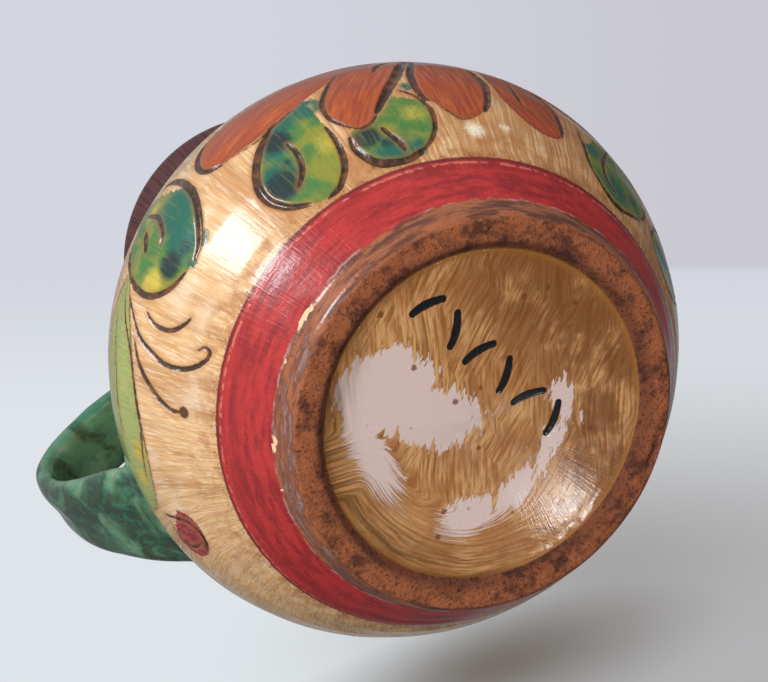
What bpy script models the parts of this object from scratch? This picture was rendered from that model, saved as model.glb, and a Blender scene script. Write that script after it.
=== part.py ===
"""A glazed pottery jug: a round belly on a turned foot ring, a flaring neck with a pulled lip, a strap handle, and a
flower with leaves cut into the clay. All sizes are in metres, angles in degrees. The jug stands on its foot ring at
z = 0, with the handle towards -X and the lip pulled out towards +X.
"""

import math

import bmesh
import bpy

# The thrown body. Heights are above the face that the jug stands on, radii are of the outer surface.
HEIGHT = 0.167
BELLY_RADIUS = 0.0624
BELLY_HEIGHT = 0.0468
NECK_RADIUS = 0.0286
NECK_HEIGHT = 0.111
RIM_RADIUS = 0.0452
WALL = 0.0048
FLOOR_THICKNESS = 0.006
SHOULDER_FULLNESS = 1.24  # 1 is a plain cosine from belly to neck; more keeps the shoulder wide for longer
NECK_FLARE = 1.65  # 1 is a straight cone from neck to rim; more keeps the flare near the rim

# The foot, turned in the leather-hard clay
FOOT_RADIUS = 0.038
FOOT_EDGE = 0.0009
FOOT_WALL_RADIUS = 0.0394
FOOT_WALL_HEIGHT = 0.0043
FOOT_RING_WIDTH = 0.0051
RECESS_DEPTH = 0.0018
RECESS_BEVEL = 0.0013

# The pulled lip
LIP_REACH = 0.009
LIP_RISE = 0.005
LIP_START_HEIGHT = 0.122
LIP_HALF_ANGLE = 24
LIP_PINCH = 0.0026
LIP_PINCH_ANGLE = 44

# The strap handle, an ear: it climbs steeply from the belly, bends over, and comes in nearly level to the neck. The
# pulls and lifts place the two control points of its curve, as radii and as heights above the two ends.
HANDLE_LOW_HEIGHT = 0.0505
HANDLE_TOP_HEIGHT = 0.1185
HANDLE_LOW_PULL = 0.103
HANDLE_TOP_PULL = 0.080
HANDLE_LOW_LIFT = 0.053
HANDLE_TOP_LIFT = 0.0075
HANDLE_THICKNESS = 0.006
HANDLE_WIDTH = 0.0175
HANDLE_LOW_WIDTH = 0.0275
HANDLE_TOP_WIDTH = 0.0185
HANDLE_FLARE_LENGTH = 0.0225
HANDLE_MITRE_LENGTH = 0.008  # over this length the sections turn from lying along the wall to square with the strap
HANDLE_SQUARENESS = 2.6
HANDLE_BURY = 0.25  # how far the handle's ends go into the wall, as a share of it

# The cut decoration: a flower beside the handle, round leaves between its petals, and a long leaf
GROOVE_RADIUS = 0.0008
GROOVE_STEP = 0.0035
FLOWER_ANGLE = 303
FLOWER_RISE = 0.008

# How finely the solid is faceted
TURN_STEPS = 60
OUTER_STEPS = (8, 11, 6)  # foot to belly, belly to neck, neck to rim
INNER_STEPS = (4, 7, 4)
LIP_STEPS = 4
HANDLE_RINGS = 26
HANDLE_SIDES = 12
ARC_SAMPLES = 600

# A blade is an outline from base to tip, each given as (angle round the belly, rise above its widest level). Of its
# two powers, for base and tip, 1 makes a point and 0.5 a round end. Its opening is the share of its length, from the
# base on, that isn't cut: where petals meet, at a sharp end, or where a petal lies over a leaf.
PETAL_POWERS = (1.0, 0.5)
PETAL_OPENING = 0.15
LEAF_POWERS = (0.5, 0.7)
ROUND_LEAF_POWERS = (0.5, 0.5)
LONG_LEAF_POWERS = (0.9, 0.6)
PETALS = (
    # tip angle, tip rise, width
    (256.0, -0.0065, 0.0205),
    (279.8, -0.0265, 0.0130),
    (305.3, -0.0286, 0.0150),
    (327.5, -0.0270, 0.0135),
    (350.0, -0.0060, 0.0190),
    (343.0, 0.0220, 0.0150),
    (316.0, 0.0370, 0.0140),
    (289.0, 0.0370, 0.0140),
    (262.0, 0.0220, 0.0150),
)
LEAVES = (
    # base angle, base rise, tip angle, tip rise, width, powers, opening
    (263.5, -0.0355, 278.0, -0.0125, 0.018, LEAF_POWERS, 0),
    (233.5, -0.0225, 248.5, -0.0005, 0.019, ROUND_LEAF_POWERS, 0),
    (283.5, -0.0155, 291.5, -0.0382, 0.018, ROUND_LEAF_POWERS, 0.4),
    (352.5, -0.0300, 334.5, -0.0180, 0.020, LEAF_POWERS, 0),
    (234.0, -0.0030, 187.0, -0.0070, 0.020, LONG_LEAF_POWERS, 0.1),
)


def body_radius(z):
    """The outer radius of the thrown body at height z: a sine up to the belly, a cosine in to the neck, then a flare."""
    if z <= BELLY_HEIGHT:
        share = (z - FOOT_WALL_HEIGHT) / (BELLY_HEIGHT - FOOT_WALL_HEIGHT)
        return FOOT_WALL_RADIUS + (BELLY_RADIUS - FOOT_WALL_RADIUS) * math.sin(math.pi / 2 * share)
    if z <= NECK_HEIGHT:
        share = (z - BELLY_HEIGHT) / (NECK_HEIGHT - BELLY_HEIGHT)
        wave = (1 + math.cos(math.pi * share**SHOULDER_FULLNESS)) / 2
        return NECK_RADIUS + (BELLY_RADIUS - NECK_RADIUS) * wave
    share = (z - NECK_HEIGHT) / (HEIGHT - NECK_HEIGHT)
    return NECK_RADIUS + (RIM_RADIUS - NECK_RADIUS) * share**NECK_FLARE


def outward(z):
    """The outer surface's normal at height z, as (radial, up)."""
    step = 1e-5
    slope = (body_radius(z + step) - body_radius(z - step)) / (2 * step)
    length = math.hypot(1, slope)
    return 1 / length, -slope / length


def spread(low, high, steps):
    return [low + (high - low) * i / steps for i in range(steps + 1)]


def lip_arc():
    """The rounded lip, from its outer side over to its inner side, as (radius, height)."""
    half = WALL / 2
    radial, up = outward(HEIGHT)
    centre_z = HEIGHT - half
    centre_r = body_radius(centre_z + half * up) - half * radial
    start = math.atan2(up, radial)
    angles = spread(start, start + math.pi, LIP_STEPS)
    return [(centre_r + half * math.cos(a), centre_z + half * math.sin(a)) for a in angles]


def wall_heights(steps, top):
    """The heights at which the outer surface is sampled, below the lip's own arc."""
    heights = spread(FOOT_WALL_HEIGHT, BELLY_HEIGHT, steps[0])
    heights += spread(BELLY_HEIGHT, NECK_HEIGHT, steps[1])[1:]
    return heights + spread(NECK_HEIGHT, top, steps[2])[1:-1]


def turned_profile():
    """The wall's whole section, from the middle of the floor up the inside, over the lip and down to the foot."""
    lip = lip_arc()
    outer = [(body_radius(z), z) for z in wall_heights(OUTER_STEPS, lip[0][1])]
    inner = []
    for z in wall_heights(INNER_STEPS, lip[0][1]):
        radial, up = outward(z)
        inner.append((body_radius(z) - WALL * radial, z - WALL * up))
    floor_z = RECESS_DEPTH + FLOOR_THICKNESS
    corner = WALL / 4
    inner = [(r, z) for r, z in inner if z > floor_z + corner]
    floor_edge = (inner[0][0] - (inner[0][1] - floor_z), floor_z)
    ring_inner = FOOT_RADIUS - FOOT_RING_WIDTH
    foot = [
        (FOOT_RADIUS, FOOT_EDGE),
        (FOOT_RADIUS - FOOT_EDGE, 0),
        (ring_inner, 0),
        (ring_inner - RECESS_BEVEL, RECESS_DEPTH),
        (0, RECESS_DEPTH),
    ]
    return [(0, floor_z), floor_edge, *inner, *reversed(lip), *reversed(outer), *foot]


def handle_path(share):
    """The handle's centre line, as (radius, height): one cubic curve from belly (0) to neck (1)."""
    ends = [buried_radius(HANDLE_LOW_HEIGHT, HANDLE_LOW_WIDTH), buried_radius(HANDLE_TOP_HEIGHT, HANDLE_TOP_WIDTH)]
    points = (
        (ends[0], HANDLE_LOW_HEIGHT),
        (HANDLE_LOW_PULL, HANDLE_LOW_HEIGHT + HANDLE_LOW_LIFT),
        (HANDLE_TOP_PULL, HANDLE_TOP_HEIGHT + HANDLE_TOP_LIFT),
        (ends[1], HANDLE_TOP_HEIGHT),
    )
    left = 1 - share
    weights = (left**3, 3 * left**2 * share, 3 * left * share**2, share**3)
    return tuple(sum(w * p[i] for w, p in zip(weights, points)) for i in (0, 1))


def buried_radius(z, width):
    """Where a handle end of this width stops, inside the wall and short of the cavity."""
    return math.sqrt(body_radius(z) ** 2 - (width / 2) ** 2) - HANDLE_BURY * WALL


def handle_stations():
    """Evenly spaced sections of the strap, as (radius, height, distance to its low end, distance to its top end)."""
    line = [handle_path(i / ARC_SAMPLES) for i in range(ARC_SAMPLES + 1)]
    walked = [0.0]
    for before, after in zip(line, line[1:]):
        walked.append(walked[-1] + math.dist(before, after))
    stations = []
    for i in range(HANDLE_RINGS + 1):
        wanted = walked[-1] * i / HANDLE_RINGS
        nearest = min(range(len(walked)), key=lambda k: abs(walked[k] - wanted))
        stations.append((*line[nearest], walked[nearest], walked[-1] - walked[nearest]))
    return stations


def handle_width(from_low, from_top):
    """The strap widens to where it was pressed onto the belly and the neck."""
    low = (HANDLE_LOW_WIDTH - HANDLE_WIDTH) * math.exp(-((from_low / HANDLE_FLARE_LENGTH) ** 2) / 2)
    top = (HANDLE_TOP_WIDTH - HANDLE_WIDTH) * math.exp(-((from_top / HANDLE_FLARE_LENGTH) ** 2) / 2)
    return HANDLE_WIDTH + low + top


def across_strap(before, after, from_low, from_top):
    """The way the strap's thickness points, as (radial, up): square with the strap, but along the wall at its ends."""
    run = math.dist(before, after)
    along = ((after[0] - before[0]) / run, (after[1] - before[1]) / run)
    square = (along[1], -along[0])
    mitre = math.exp(-((min(from_low, from_top) / HANDLE_MITRE_LENGTH) ** 2))
    lean = -square[0] / along[0] * mitre if mitre > 1e-3 else 0
    return square[0] + lean * along[0], square[1] + lean * along[1]


def rounded(angle, power):
    """A point of a unit superellipse."""
    c, s = math.cos(angle), math.sin(angle)
    return math.copysign(abs(c) ** (2 / power), c), math.copysign(abs(s) ** (2 / power), s)


def axis_offset():
    """How far the turned axis stands from the middle of the jug's box, so that box is centred on the origin."""
    reach = max(handle_path(i / ARC_SAMPLES)[0] for i in range(ARC_SAMPLES + 1)) + HANDLE_THICKNESS / 2
    return (reach - BELLY_RADIUS) / 2


def arc_table():
    """(rise, radius, height) up the outer surface, where rise is the length along it from the belly's widest level."""
    heights = spread(FOOT_WALL_HEIGHT, NECK_HEIGHT, ARC_SAMPLES)
    rows = [(0.0, body_radius(heights[0]), heights[0])]
    for z in heights[1:]:
        rise, r0, z0 = rows[-1]
        r = body_radius(z)
        rows.append((rise + math.hypot(r - r0, z - z0), r, z))
    zero = min(rows, key=lambda row: abs(row[2] - BELLY_HEIGHT))[0]
    return [(rise - zero, r, z) for rise, r, z in rows]


def at_rise(table, rise):
    """The (radius, height) of the outer surface at this rise."""
    row = min(table, key=lambda entry: abs(entry[0] - rise))
    return row[1], row[2]


def on_body(table, angle, rise, x=0.0, y=0.0):
    """The surface point x to the side of and y above a place on the body."""
    r, z = at_rise(table, rise + y)
    turn = math.radians(angle) + x / r
    return axis_offset() + r * math.cos(turn), r * math.sin(turn), z


def blade(table, base, tip, width, powers, opening):
    """The outline of a petal or leaf that lies on the body, as points in order round it."""
    middle = ((base[0] + tip[0]) / 2, (base[1] + tip[1]) / 2)
    ends = []
    for angle, rise in (base, tip):
        r, _ = at_rise(table, rise)
        ends.append((math.radians(angle - middle[0]) * r, rise - middle[1]))
    (bx, by), (tx, ty) = ends
    length = math.hypot(tx - bx, ty - by)
    ux, uy = (tx - bx) / length, (ty - by) / length
    steps = max(6, round(length / GROOVE_STEP))
    widest = powers[0] / (powers[0] + powers[1])
    sides = []
    for i in range(steps + 1):
        t = (1 - math.cos(math.pi * i / steps)) / 2
        if t < opening:
            continue
        half = width / 2 * (t / widest) ** powers[0] * ((1 - t) / (1 - widest)) ** powers[1]
        sides.append((t * length, half))
    back = sides[:-1] if opening else sides[1:-1]
    outline = sides + [(along, -half) for along, half in reversed(back)]
    return [on_body(table, *middle, bx + ux * a - uy * h, by + uy * a + ux * h) for a, h in outline]


def material(name, colour, roughness):
    made = bpy.data.materials.new(name)
    made.use_nodes = True
    shader = made.node_tree.nodes["Principled BSDF"]
    shader.inputs["Base Color"].default_value = (*colour, 1)
    shader.inputs["Roughness"].default_value = roughness
    shader.inputs["Metallic"].default_value = 0
    return made


def collection(name):
    made = bpy.data.collections.new(name)
    bpy.context.scene.collection.children.link(made)
    return made


def frozen(source, name, home):
    """A plain mesh object of what a curve or a modified object evaluates to. The source is removed."""
    bpy.context.view_layer.update()
    mesh = bpy.data.meshes.new_from_object(source.evaluated_get(bpy.context.evaluated_depsgraph_get()))
    made = bpy.data.objects.new(name, mesh)
    made.matrix_world = source.matrix_world
    home.objects.link(made)
    bpy.data.objects.remove(source)
    welded = bmesh.new()
    welded.from_mesh(mesh)
    bmesh.ops.remove_doubles(welded, verts=welded.verts, dist=1e-6)
    bmesh.ops.recalc_face_normals(welded, faces=welded.faces)
    welded.to_mesh(mesh)
    welded.free()
    return made


def make_body(home):
    """The thrown body: its section spun round the axis, then the lip pulled out by hand."""
    profile = turned_profile()
    mesh = bpy.data.meshes.new("section")
    mesh.from_pydata([(r, 0, z) for r, z in profile], [(i, i + 1) for i in range(len(profile) - 1)], [])
    section = bpy.data.objects.new("section", mesh)
    home.objects.link(section)
    spin = section.modifiers.new("Turn", "SCREW")
    spin.steps = spin.render_steps = TURN_STEPS
    spin.use_merge_vertices = True
    spin.merge_threshold = 1e-5
    body = frozen(section, "jug", home)
    for vertex in body.data.vertices:
        vertex.co = pulled(*vertex.co)
        vertex.co.x += axis_offset()
    return body


def pulled(x, y, z):
    """A point of the neck moved as the fingers move it: out and up at the spout, in a little on both sides of it."""
    if z <= LIP_START_HEIGHT:
        return x, y, z
    weight = min(1, (z - LIP_START_HEIGHT) / (HEIGHT - LIP_START_HEIGHT)) ** 2
    angle = math.degrees(math.atan2(y, x))
    spout = math.exp(-((angle / LIP_HALF_ANGLE) ** 2))
    pinch = math.exp(-(((abs(angle) - LIP_PINCH_ANGLE) / (LIP_HALF_ANGLE / 2)) ** 2))
    grow = 1 + weight * (LIP_REACH * spout - LIP_PINCH * pinch) / math.hypot(x, y)
    return x * grow, y * grow, z + weight * LIP_RISE * spout


def make_handle(home):
    """The strap handle, lofted through rounded sections that change width along it."""
    loft = bmesh.new()
    rings = []
    stations = handle_stations()
    for i, (r, z, from_low, from_top) in enumerate(stations):
        before, after = stations[max(0, i - 1)][:2], stations[min(HANDLE_RINGS, i + 1)][:2]
        out_r, out_z = across_strap(before, after, from_low, from_top)
        ring = []
        for k in range(HANDLE_SIDES):
            side, out = rounded(2 * math.pi * k / HANDLE_SIDES, HANDLE_SQUARENESS)
            side *= handle_width(from_low, from_top) / 2
            out *= HANDLE_THICKNESS / 2
            ring.append(loft.verts.new((axis_offset() - r - out_r * out, side, z + out_z * out)))
        rings.append(ring)
    for ring, following in zip(rings, rings[1:]):
        for k in range(HANDLE_SIDES):
            after = (k + 1) % HANDLE_SIDES
            loft.faces.new((ring[k], ring[after], following[after], following[k]))
    loft.faces.new(rings[0])
    loft.faces.new(rings[-1])
    bmesh.ops.recalc_face_normals(loft, faces=loft.faces)
    mesh = bpy.data.meshes.new("handle")
    loft.to_mesh(mesh)
    loft.free()
    handle = bpy.data.objects.new("handle", mesh)
    home.objects.link(handle)
    return handle


def groove_cutter(name, points, closed, home):
    """A round cutter that follows an outline on the surface."""
    curve = bpy.data.curves.new(name, "CURVE")
    curve.dimensions = "3D"
    curve.bevel_depth = GROOVE_RADIUS
    curve.bevel_resolution = 0
    line = curve.splines.new("POLY")
    line.points.add(len(points) - 1)
    for target, point in zip(line.points, points):
        target.co = (*point, 1)
    line.use_cyclic_u = closed
    curve.use_fill_caps = not closed
    source = bpy.data.objects.new(name + " line", curve)
    home.objects.link(source)
    return frozen(source, name, home)


def boolean(target, kind, other):
    cut = target.modifiers.new(other.name, "BOOLEAN")
    cut.operation = kind
    cut.object = other
    other.hide_render = True
    other.display_type = "WIRE"


def build():
    for old in list(bpy.data.objects):
        bpy.data.objects.remove(old)
    parts = collection("Jug")
    helpers = collection("Joined and cut")
    jug = make_body(parts)
    jug.data.materials.append(material("Honey and cream glaze", (0.62, 0.42, 0.22), 0.2))
    boolean(jug, "UNION", make_handle(helpers))
    table = arc_table()
    flower = (FLOWER_ANGLE, FLOWER_RISE)
    blades = [(flower, (angle, rise), width, PETAL_POWERS, PETAL_OPENING) for angle, rise, width in PETALS]
    blades += [((leaf[0], leaf[1]), (leaf[2], leaf[3]), *leaf[4:]) for leaf in LEAVES]
    for number, (base, tip, width, powers, opening) in enumerate(blades, 1):
        outline = blade(table, base, tip, width, powers, opening)
        boolean(jug, "DIFFERENCE", groove_cutter(f"groove {number}", outline, not opening, helpers))
    jug.data.shade_smooth()
    jug.data.set_sharp_from_angle(angle=math.radians(40))


build()
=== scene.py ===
"""The looks of a glazed pottery jug, around its solid model. Metres, +Z up, handle towards -X.

In the photograph the jug lies on its side with its foot to the camera. Here it stands upright, so the
camera looks up from below the foot.
"""

import math

import bmesh
import bpy
import numpy as np
from mathutils import Matrix, Vector, noise
from mathutils.kdtree import KDTree


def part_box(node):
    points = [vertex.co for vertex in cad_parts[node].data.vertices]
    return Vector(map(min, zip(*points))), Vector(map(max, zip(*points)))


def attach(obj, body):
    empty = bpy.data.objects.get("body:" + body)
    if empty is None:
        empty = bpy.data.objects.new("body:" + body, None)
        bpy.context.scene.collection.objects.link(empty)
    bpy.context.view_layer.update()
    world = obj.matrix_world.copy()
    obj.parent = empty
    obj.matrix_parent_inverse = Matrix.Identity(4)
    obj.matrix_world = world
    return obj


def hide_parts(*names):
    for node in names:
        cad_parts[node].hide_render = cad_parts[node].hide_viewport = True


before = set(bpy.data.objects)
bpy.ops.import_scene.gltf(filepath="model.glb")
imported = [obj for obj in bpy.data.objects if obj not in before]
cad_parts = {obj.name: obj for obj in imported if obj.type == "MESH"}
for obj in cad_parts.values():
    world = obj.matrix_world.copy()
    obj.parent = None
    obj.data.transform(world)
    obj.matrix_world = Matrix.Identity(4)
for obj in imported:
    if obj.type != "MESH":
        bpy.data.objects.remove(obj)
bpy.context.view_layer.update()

# The camera
# A short telephoto close to the foot, below it and on the side of the flower. Its axes come from the
# ellipses of the foot ring, the band and the rim. Pixels are those of the photograph.
PICTURE_WIDTH = 768
PICTURE_HEIGHT = 682
FOCAL_PIXELS = 1200
SENSOR_WIDTH = 36
CAMERA_PLACE = Vector((-0.02772, -0.10505, -0.18909))
CAMERA_RIGHT = Vector((0.80554, 0.48912, -0.33448))
CAMERA_UP = Vector((0.57457, -0.78275, 0.23911))
CAMERA_BACK = CAMERA_RIGHT.cross(CAMERA_UP)

lens = bpy.data.cameras.new("camera")
lens.sensor_width = SENSOR_WIDTH
lens.lens = FOCAL_PIXELS / PICTURE_WIDTH * SENSOR_WIDTH
lens.clip_start = 0.01
camera = bpy.data.objects.new("camera", lens)
axes = Matrix((CAMERA_RIGHT, CAMERA_UP, CAMERA_BACK)).transposed()
camera.matrix_world = Matrix.Translation(CAMERA_PLACE) @ axes.to_4x4()
bpy.context.scene.collection.objects.link(camera)
bpy.context.scene.camera = camera

# The thrown body
# One wall of red earthenware, thrown on the wheel from foot to rim and turned at the foot. Below, run is
# the length along its section in millimetres, from the belly's widest level: up over the lip it grows, down
# over the foot it falls.
MM = 0.001
WELD = 1e-6  # points closer than this are one
HEIGHT = 0.167
BELLY_RADIUS = 0.0624
BELLY_HEIGHT = 0.0468
NECK_RADIUS = 0.0286
NECK_HEIGHT = 0.111
RIM_RADIUS = 0.0452
WALL = 0.0048
FLOOR_THICKNESS = 0.006
SHOULDER_FULLNESS = 1.24
NECK_FLARE = 1.65
FOOT_RADIUS = 0.038
FOOT_EDGE = 0.0009
FOOT_WALL_RADIUS = 0.0394
FOOT_WALL_HEIGHT = 0.0043
FOOT_RING_WIDTH = 0.0051
RECESS_DEPTH = 0.0018
RECESS_BEVEL = 0.0013
LIP_REACH = 0.009
LIP_RISE = 0.005
LIP_START_HEIGHT = 0.122
LIP_HALF_ANGLE = 24
LIP_PINCH = 0.0026
LIP_PINCH_ANGLE = 44
AXIS_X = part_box("jug")[1][0] - BELLY_RADIUS

TURN_STEPS = 240
DISC_SPACING = 2.0  # spacings of the mesh along the section, in millimetres
FOOT_SPACING = 0.45
WALL_SPACING = 1.6
LIP_SPACING = 0.7
INSIDE_SPACING = 5.0
CUT_REACH = (2.0, 1.1)  # how far from a cut line the mesh is divided once, and once more


def wall_radius(z):
    """The outer radius of the thrown wall: a sine up to the belly, a cosine in to the neck, then a flare."""
    z = np.asarray(z, float)
    foot = np.clip((z - FOOT_WALL_HEIGHT) / (BELLY_HEIGHT - FOOT_WALL_HEIGHT), 0, 1)
    low = FOOT_WALL_RADIUS + (BELLY_RADIUS - FOOT_WALL_RADIUS) * np.sin(np.pi / 2 * foot)
    shoulder = np.clip((z - BELLY_HEIGHT) / (NECK_HEIGHT - BELLY_HEIGHT), 0, 1)
    wave = (1 + np.cos(np.pi * shoulder**SHOULDER_FULLNESS)) / 2
    middle = NECK_RADIUS + (BELLY_RADIUS - NECK_RADIUS) * wave
    flare = np.clip((z - NECK_HEIGHT) / (HEIGHT - NECK_HEIGHT), 0, None)
    high = NECK_RADIUS + (RIM_RADIUS - NECK_RADIUS) * flare**NECK_FLARE
    return np.where(z <= BELLY_HEIGHT, low, np.where(z <= NECK_HEIGHT, middle, high))


def lengths_along(line):
    """How far along a line each of its points is."""
    return np.concatenate([[0], np.cumsum(np.hypot(*np.diff(line, axis=0).T))])


def section_line():
    """The wall's whole section as close points, from the middle of the foot to that of the floor.

    Returns the run, the radius and the height of each.
    """
    step = 1e-5
    ring_inner = FOOT_RADIUS - FOOT_RING_WIDTH
    foot = [
        (0, RECESS_DEPTH),
        (ring_inner - RECESS_BEVEL, RECESS_DEPTH),
        (ring_inner, 0),
        (FOOT_RADIUS - FOOT_EDGE, 0),
        (FOOT_RADIUS, FOOT_EDGE),
        (FOOT_WALL_RADIUS, FOOT_WALL_HEIGHT),
    ]
    heights = np.linspace(FOOT_WALL_HEIGHT, HEIGHT, 2000)
    below = np.maximum(heights - step, FOOT_WALL_HEIGHT)
    slope = (wall_radius(heights + step) - wall_radius(below)) / (2 * step)
    length = np.hypot(1, slope)
    radial, up = 1 / length, -slope / length
    half = WALL / 2
    lip_z = HEIGHT - half
    lip_r = float(wall_radius(lip_z + half * up[-1])) - half * radial[-1]
    outer = heights < lip_z + half * up[-1]
    start = math.atan2(up[-1], radial[-1])
    turns = np.linspace(start, start + math.pi, 40)
    wall = list(zip(wall_radius(heights[outer]), heights[outer]))
    lip = [(lip_r + half * math.cos(a), lip_z + half * math.sin(a)) for a in turns]
    inner_r, inner_z = wall_radius(heights) - WALL * radial, heights - WALL * up
    floor_z = RECESS_DEPTH + FLOOR_THICKNESS
    kept = (inner_z > floor_z + WALL / 4) & outer
    inside = list(zip(inner_r[kept], inner_z[kept]))[::-1]
    edge = (inside[-1][0] - (inside[-1][1] - floor_z), floor_z)
    corners = np.array([*foot, *wall[1:], *lip, *inside, edge, (0, floor_z)])
    lengths = lengths_along(corners)
    close = np.linspace(0, lengths[-1], 12000)
    r, z = (np.interp(close, lengths, corners[:, i]) for i in (0, 1))
    widest = close[np.argmin(np.hypot(r - BELLY_RADIUS, z - BELLY_HEIGHT))]
    worn = np.ones(17) / 17  # every corner is a little rounded by the sponge
    ends = 8
    r[ends:-ends] = np.convolve(r, worn, "valid")
    z[ends:-ends] = np.convolve(z, worn, "valid")
    return (close - widest) / MM, r, z


SECTION_RUN, SECTION_R, SECTION_Z = section_line()
RUN_LIP = SECTION_RUN[np.argmax(SECTION_Z)]


def outside_run(z):
    """The run of a height on the outer side of the wall."""
    outer = (SECTION_RUN > SECTION_RUN[0] + 36) & (SECTION_RUN < RUN_LIP)
    return float(np.interp(z, SECTION_Z[outer], SECTION_RUN[outer]))


def foot_run(r):
    """The run of a radius on the underside."""
    within = SECTION_RUN < SECTION_RUN[0] + (FOOT_RADIUS - FOOT_EDGE) / MM
    under = within & (SECTION_Z < RECESS_DEPTH * 1.01)
    return float(np.interp(r, SECTION_R[under], SECTION_RUN[under]))


def section_at(run):
    """(radius, height, normal's radial part, normal's upward part) of the section at these runs."""
    r, z = np.interp(run, SECTION_RUN, SECTION_R), np.interp(run, SECTION_RUN, SECTION_Z)
    ahead, behind = run + 0.3, run - 0.3
    dr = np.interp(ahead, SECTION_RUN, SECTION_R) - np.interp(behind, SECTION_RUN, SECTION_R)
    dz = np.interp(ahead, SECTION_RUN, SECTION_Z) - np.interp(behind, SECTION_RUN, SECTION_Z)
    length = np.maximum(np.hypot(dr, dz), 1e-12)
    return r, z, dz / length, -dr / length


class Wiring:
    """Adds nodes to a tree and joins their sockets, so that a tree reads as a few lines of sums."""

    def __init__(self, tree):
        self.tree = tree

    def node(self, kind, sources=(), **settings):
        made = self.tree.nodes.new(kind)
        for name, value in settings.items():
            setattr(made, name, value)
        pairs = sources.items() if isinstance(sources, dict) else enumerate(sources)
        for key, source in pairs:
            if isinstance(source, bpy.types.NodeSocket):
                self.tree.links.new(source, made.inputs[key])
            elif source is not None:
                made.inputs[key].default_value = source
        return made

    def math(self, operation, *values):
        return self.node("ShaderNodeMath", values, operation=operation).outputs[0]

    def total(self, *values):
        result = values[0]
        for value in values[1:]:
            result = self.math("ADD", result, value)
        return result

    def times(self, *values):
        result = values[0]
        for value in values[1:]:
            result = self.math("MULTIPLY", result, value)
        return result

    def vector(self, operation, *values):
        made = self.node("ShaderNodeVectorMath", operation=operation)
        for socket, value in zip(made.inputs, values):
            if isinstance(value, bpy.types.NodeSocket):
                self.tree.links.new(value, socket)
            else:
                socket.default_value = value
        return made.outputs["Value" if operation in ("DOT_PRODUCT", "LENGTH") else "Vector"]

    def scaled(self, vector, factor):
        made = self.node("ShaderNodeVectorMath", {0: vector, "Scale": factor}, operation="SCALE")
        return made.outputs["Vector"]

    def joined(self, x, y, z):
        return self.node("ShaderNodeCombineXYZ", (x, y, z)).outputs[0]

    def parts(self, vector):
        return self.node("ShaderNodeSeparateXYZ", (vector,)).outputs

    def fire(self, clay, material):
        """The end of a tree that makes a mesh: its points welded, made real, and given its material."""
        sources = {"Geometry": clay, "Distance": WELD}
        seamless = self.node("GeometryNodeMergeByDistance", sources).outputs[0]
        real = self.node("GeometryNodeRealizeInstances", {"Geometry": seamless}).outputs[0]
        sources = {"Geometry": real, "Material": material}
        self.node("NodeGroupOutput", (self.node("GeometryNodeSetMaterial", sources).outputs[0],))

    def swing(self, value, reach):
        """A noise from 0 to 1, turned into one round zero, which reaches half this far to either side."""
        return self.times(self.math("SUBTRACT", value, 0.5), reach)

    def step(self, value, low, high):
        """0 below low and 1 above high, smooth between them. It falls where low is the larger."""
        sources = {"Value": value, "From Min": low, "From Max": high}
        return self.node("ShaderNodeMapRange", sources, interpolation_type="SMOOTHSTEP").outputs["Result"]

    def between(self, factor, low, high):
        """A value between two others."""
        return self.node("ShaderNodeMix", {0: factor, 2: low, 3: high}).outputs[0]

    def mix(self, factor, below, above):
        """A colour between two others."""
        return self.node("ShaderNodeMix", {0: factor, 6: below, 7: above}, data_type="RGBA").outputs[2]

    def over(self, below, above, value, low, high, *amounts):
        """A colour laid over another where a value goes from low to high, weakened by these amounts."""
        return self.mix(self.times(self.step(value, low, high), *amounts), below, above)

    def layers(self, colour, *rows):
        """Colours laid one over the other. A row is what over takes after the colour below."""
        for row in rows:
            colour = self.over(colour, *row)
        return colour


def turning_tree():
    """The wheel: a section, drawn as an edge line in the XZ plane, turned round Z into a closed wall."""
    tree = bpy.data.node_groups.new("Turned on the wheel", "GeometryNodeTree")
    sockets = tree.interface
    sockets.new_socket("Section", in_out="INPUT", socket_type="NodeSocketGeometry")
    steps = sockets.new_socket("Steps Round", in_out="INPUT", socket_type="NodeSocketInt")
    clay = sockets.new_socket("Clay", in_out="INPUT", socket_type="NodeSocketMaterial")
    sockets.new_socket("Wall", in_out="OUTPUT", socket_type="NodeSocketGeometry")
    w = Wiring(tree)
    given = w.node("NodeGroupInput").outputs
    rows = w.node("GeometryNodeAttributeDomainSize", {"Geometry": given["Section"]}).outputs["Point Count"]
    columns = w.math("ADD", given["Steps Round"], 1)
    grid = w.node("GeometryNodeMeshGrid", {"Vertices X": columns, "Vertices Y": rows})
    index = w.node("GeometryNodeInputIndex").outputs[0]
    row = w.math("MODULO", index, rows)
    column = w.math("FLOOR", w.math("DIVIDE", w.math("ADD", index, 0.5), rows))
    turn = w.times(w.math("DIVIDE", column, given["Steps Round"]), math.tau)

    def of_section(kind, value):
        node = w.node("GeometryNodeSampleIndex", data_type=kind)
        w.tree.links.new(given["Section"], node.inputs["Geometry"])
        w.tree.links.new(value, node.inputs["Value"])
        w.tree.links.new(row, node.inputs["Index"])
        return node.outputs["Value"]

    point = of_section("FLOAT_VECTOR", w.node("GeometryNodeInputPosition").outputs[0])
    kept_run = w.node("GeometryNodeInputNamedAttribute", ("run",), data_type="FLOAT").outputs[0]
    run = of_section("FLOAT", kept_run)
    turned = w.node("ShaderNodeVectorRotate", {"Vector": point, "Angle": turn}, rotation_type="Z_AXIS")
    wall = {"Geometry": grid.outputs["Mesh"], "Position": turned.outputs[0]}
    placed = w.node("GeometryNodeSetPosition", wall).outputs[0]
    kept = w.node("GeometryNodeStoreNamedAttribute", {"Geometry": placed, "Name": "run"}, data_type="FLOAT")
    w.tree.links.new(run, kept.inputs["Value"])
    w.fire(kept.outputs[0], given["Clay"])
    return tree, {"steps": steps.identifier, "clay": clay.identifier}


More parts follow.
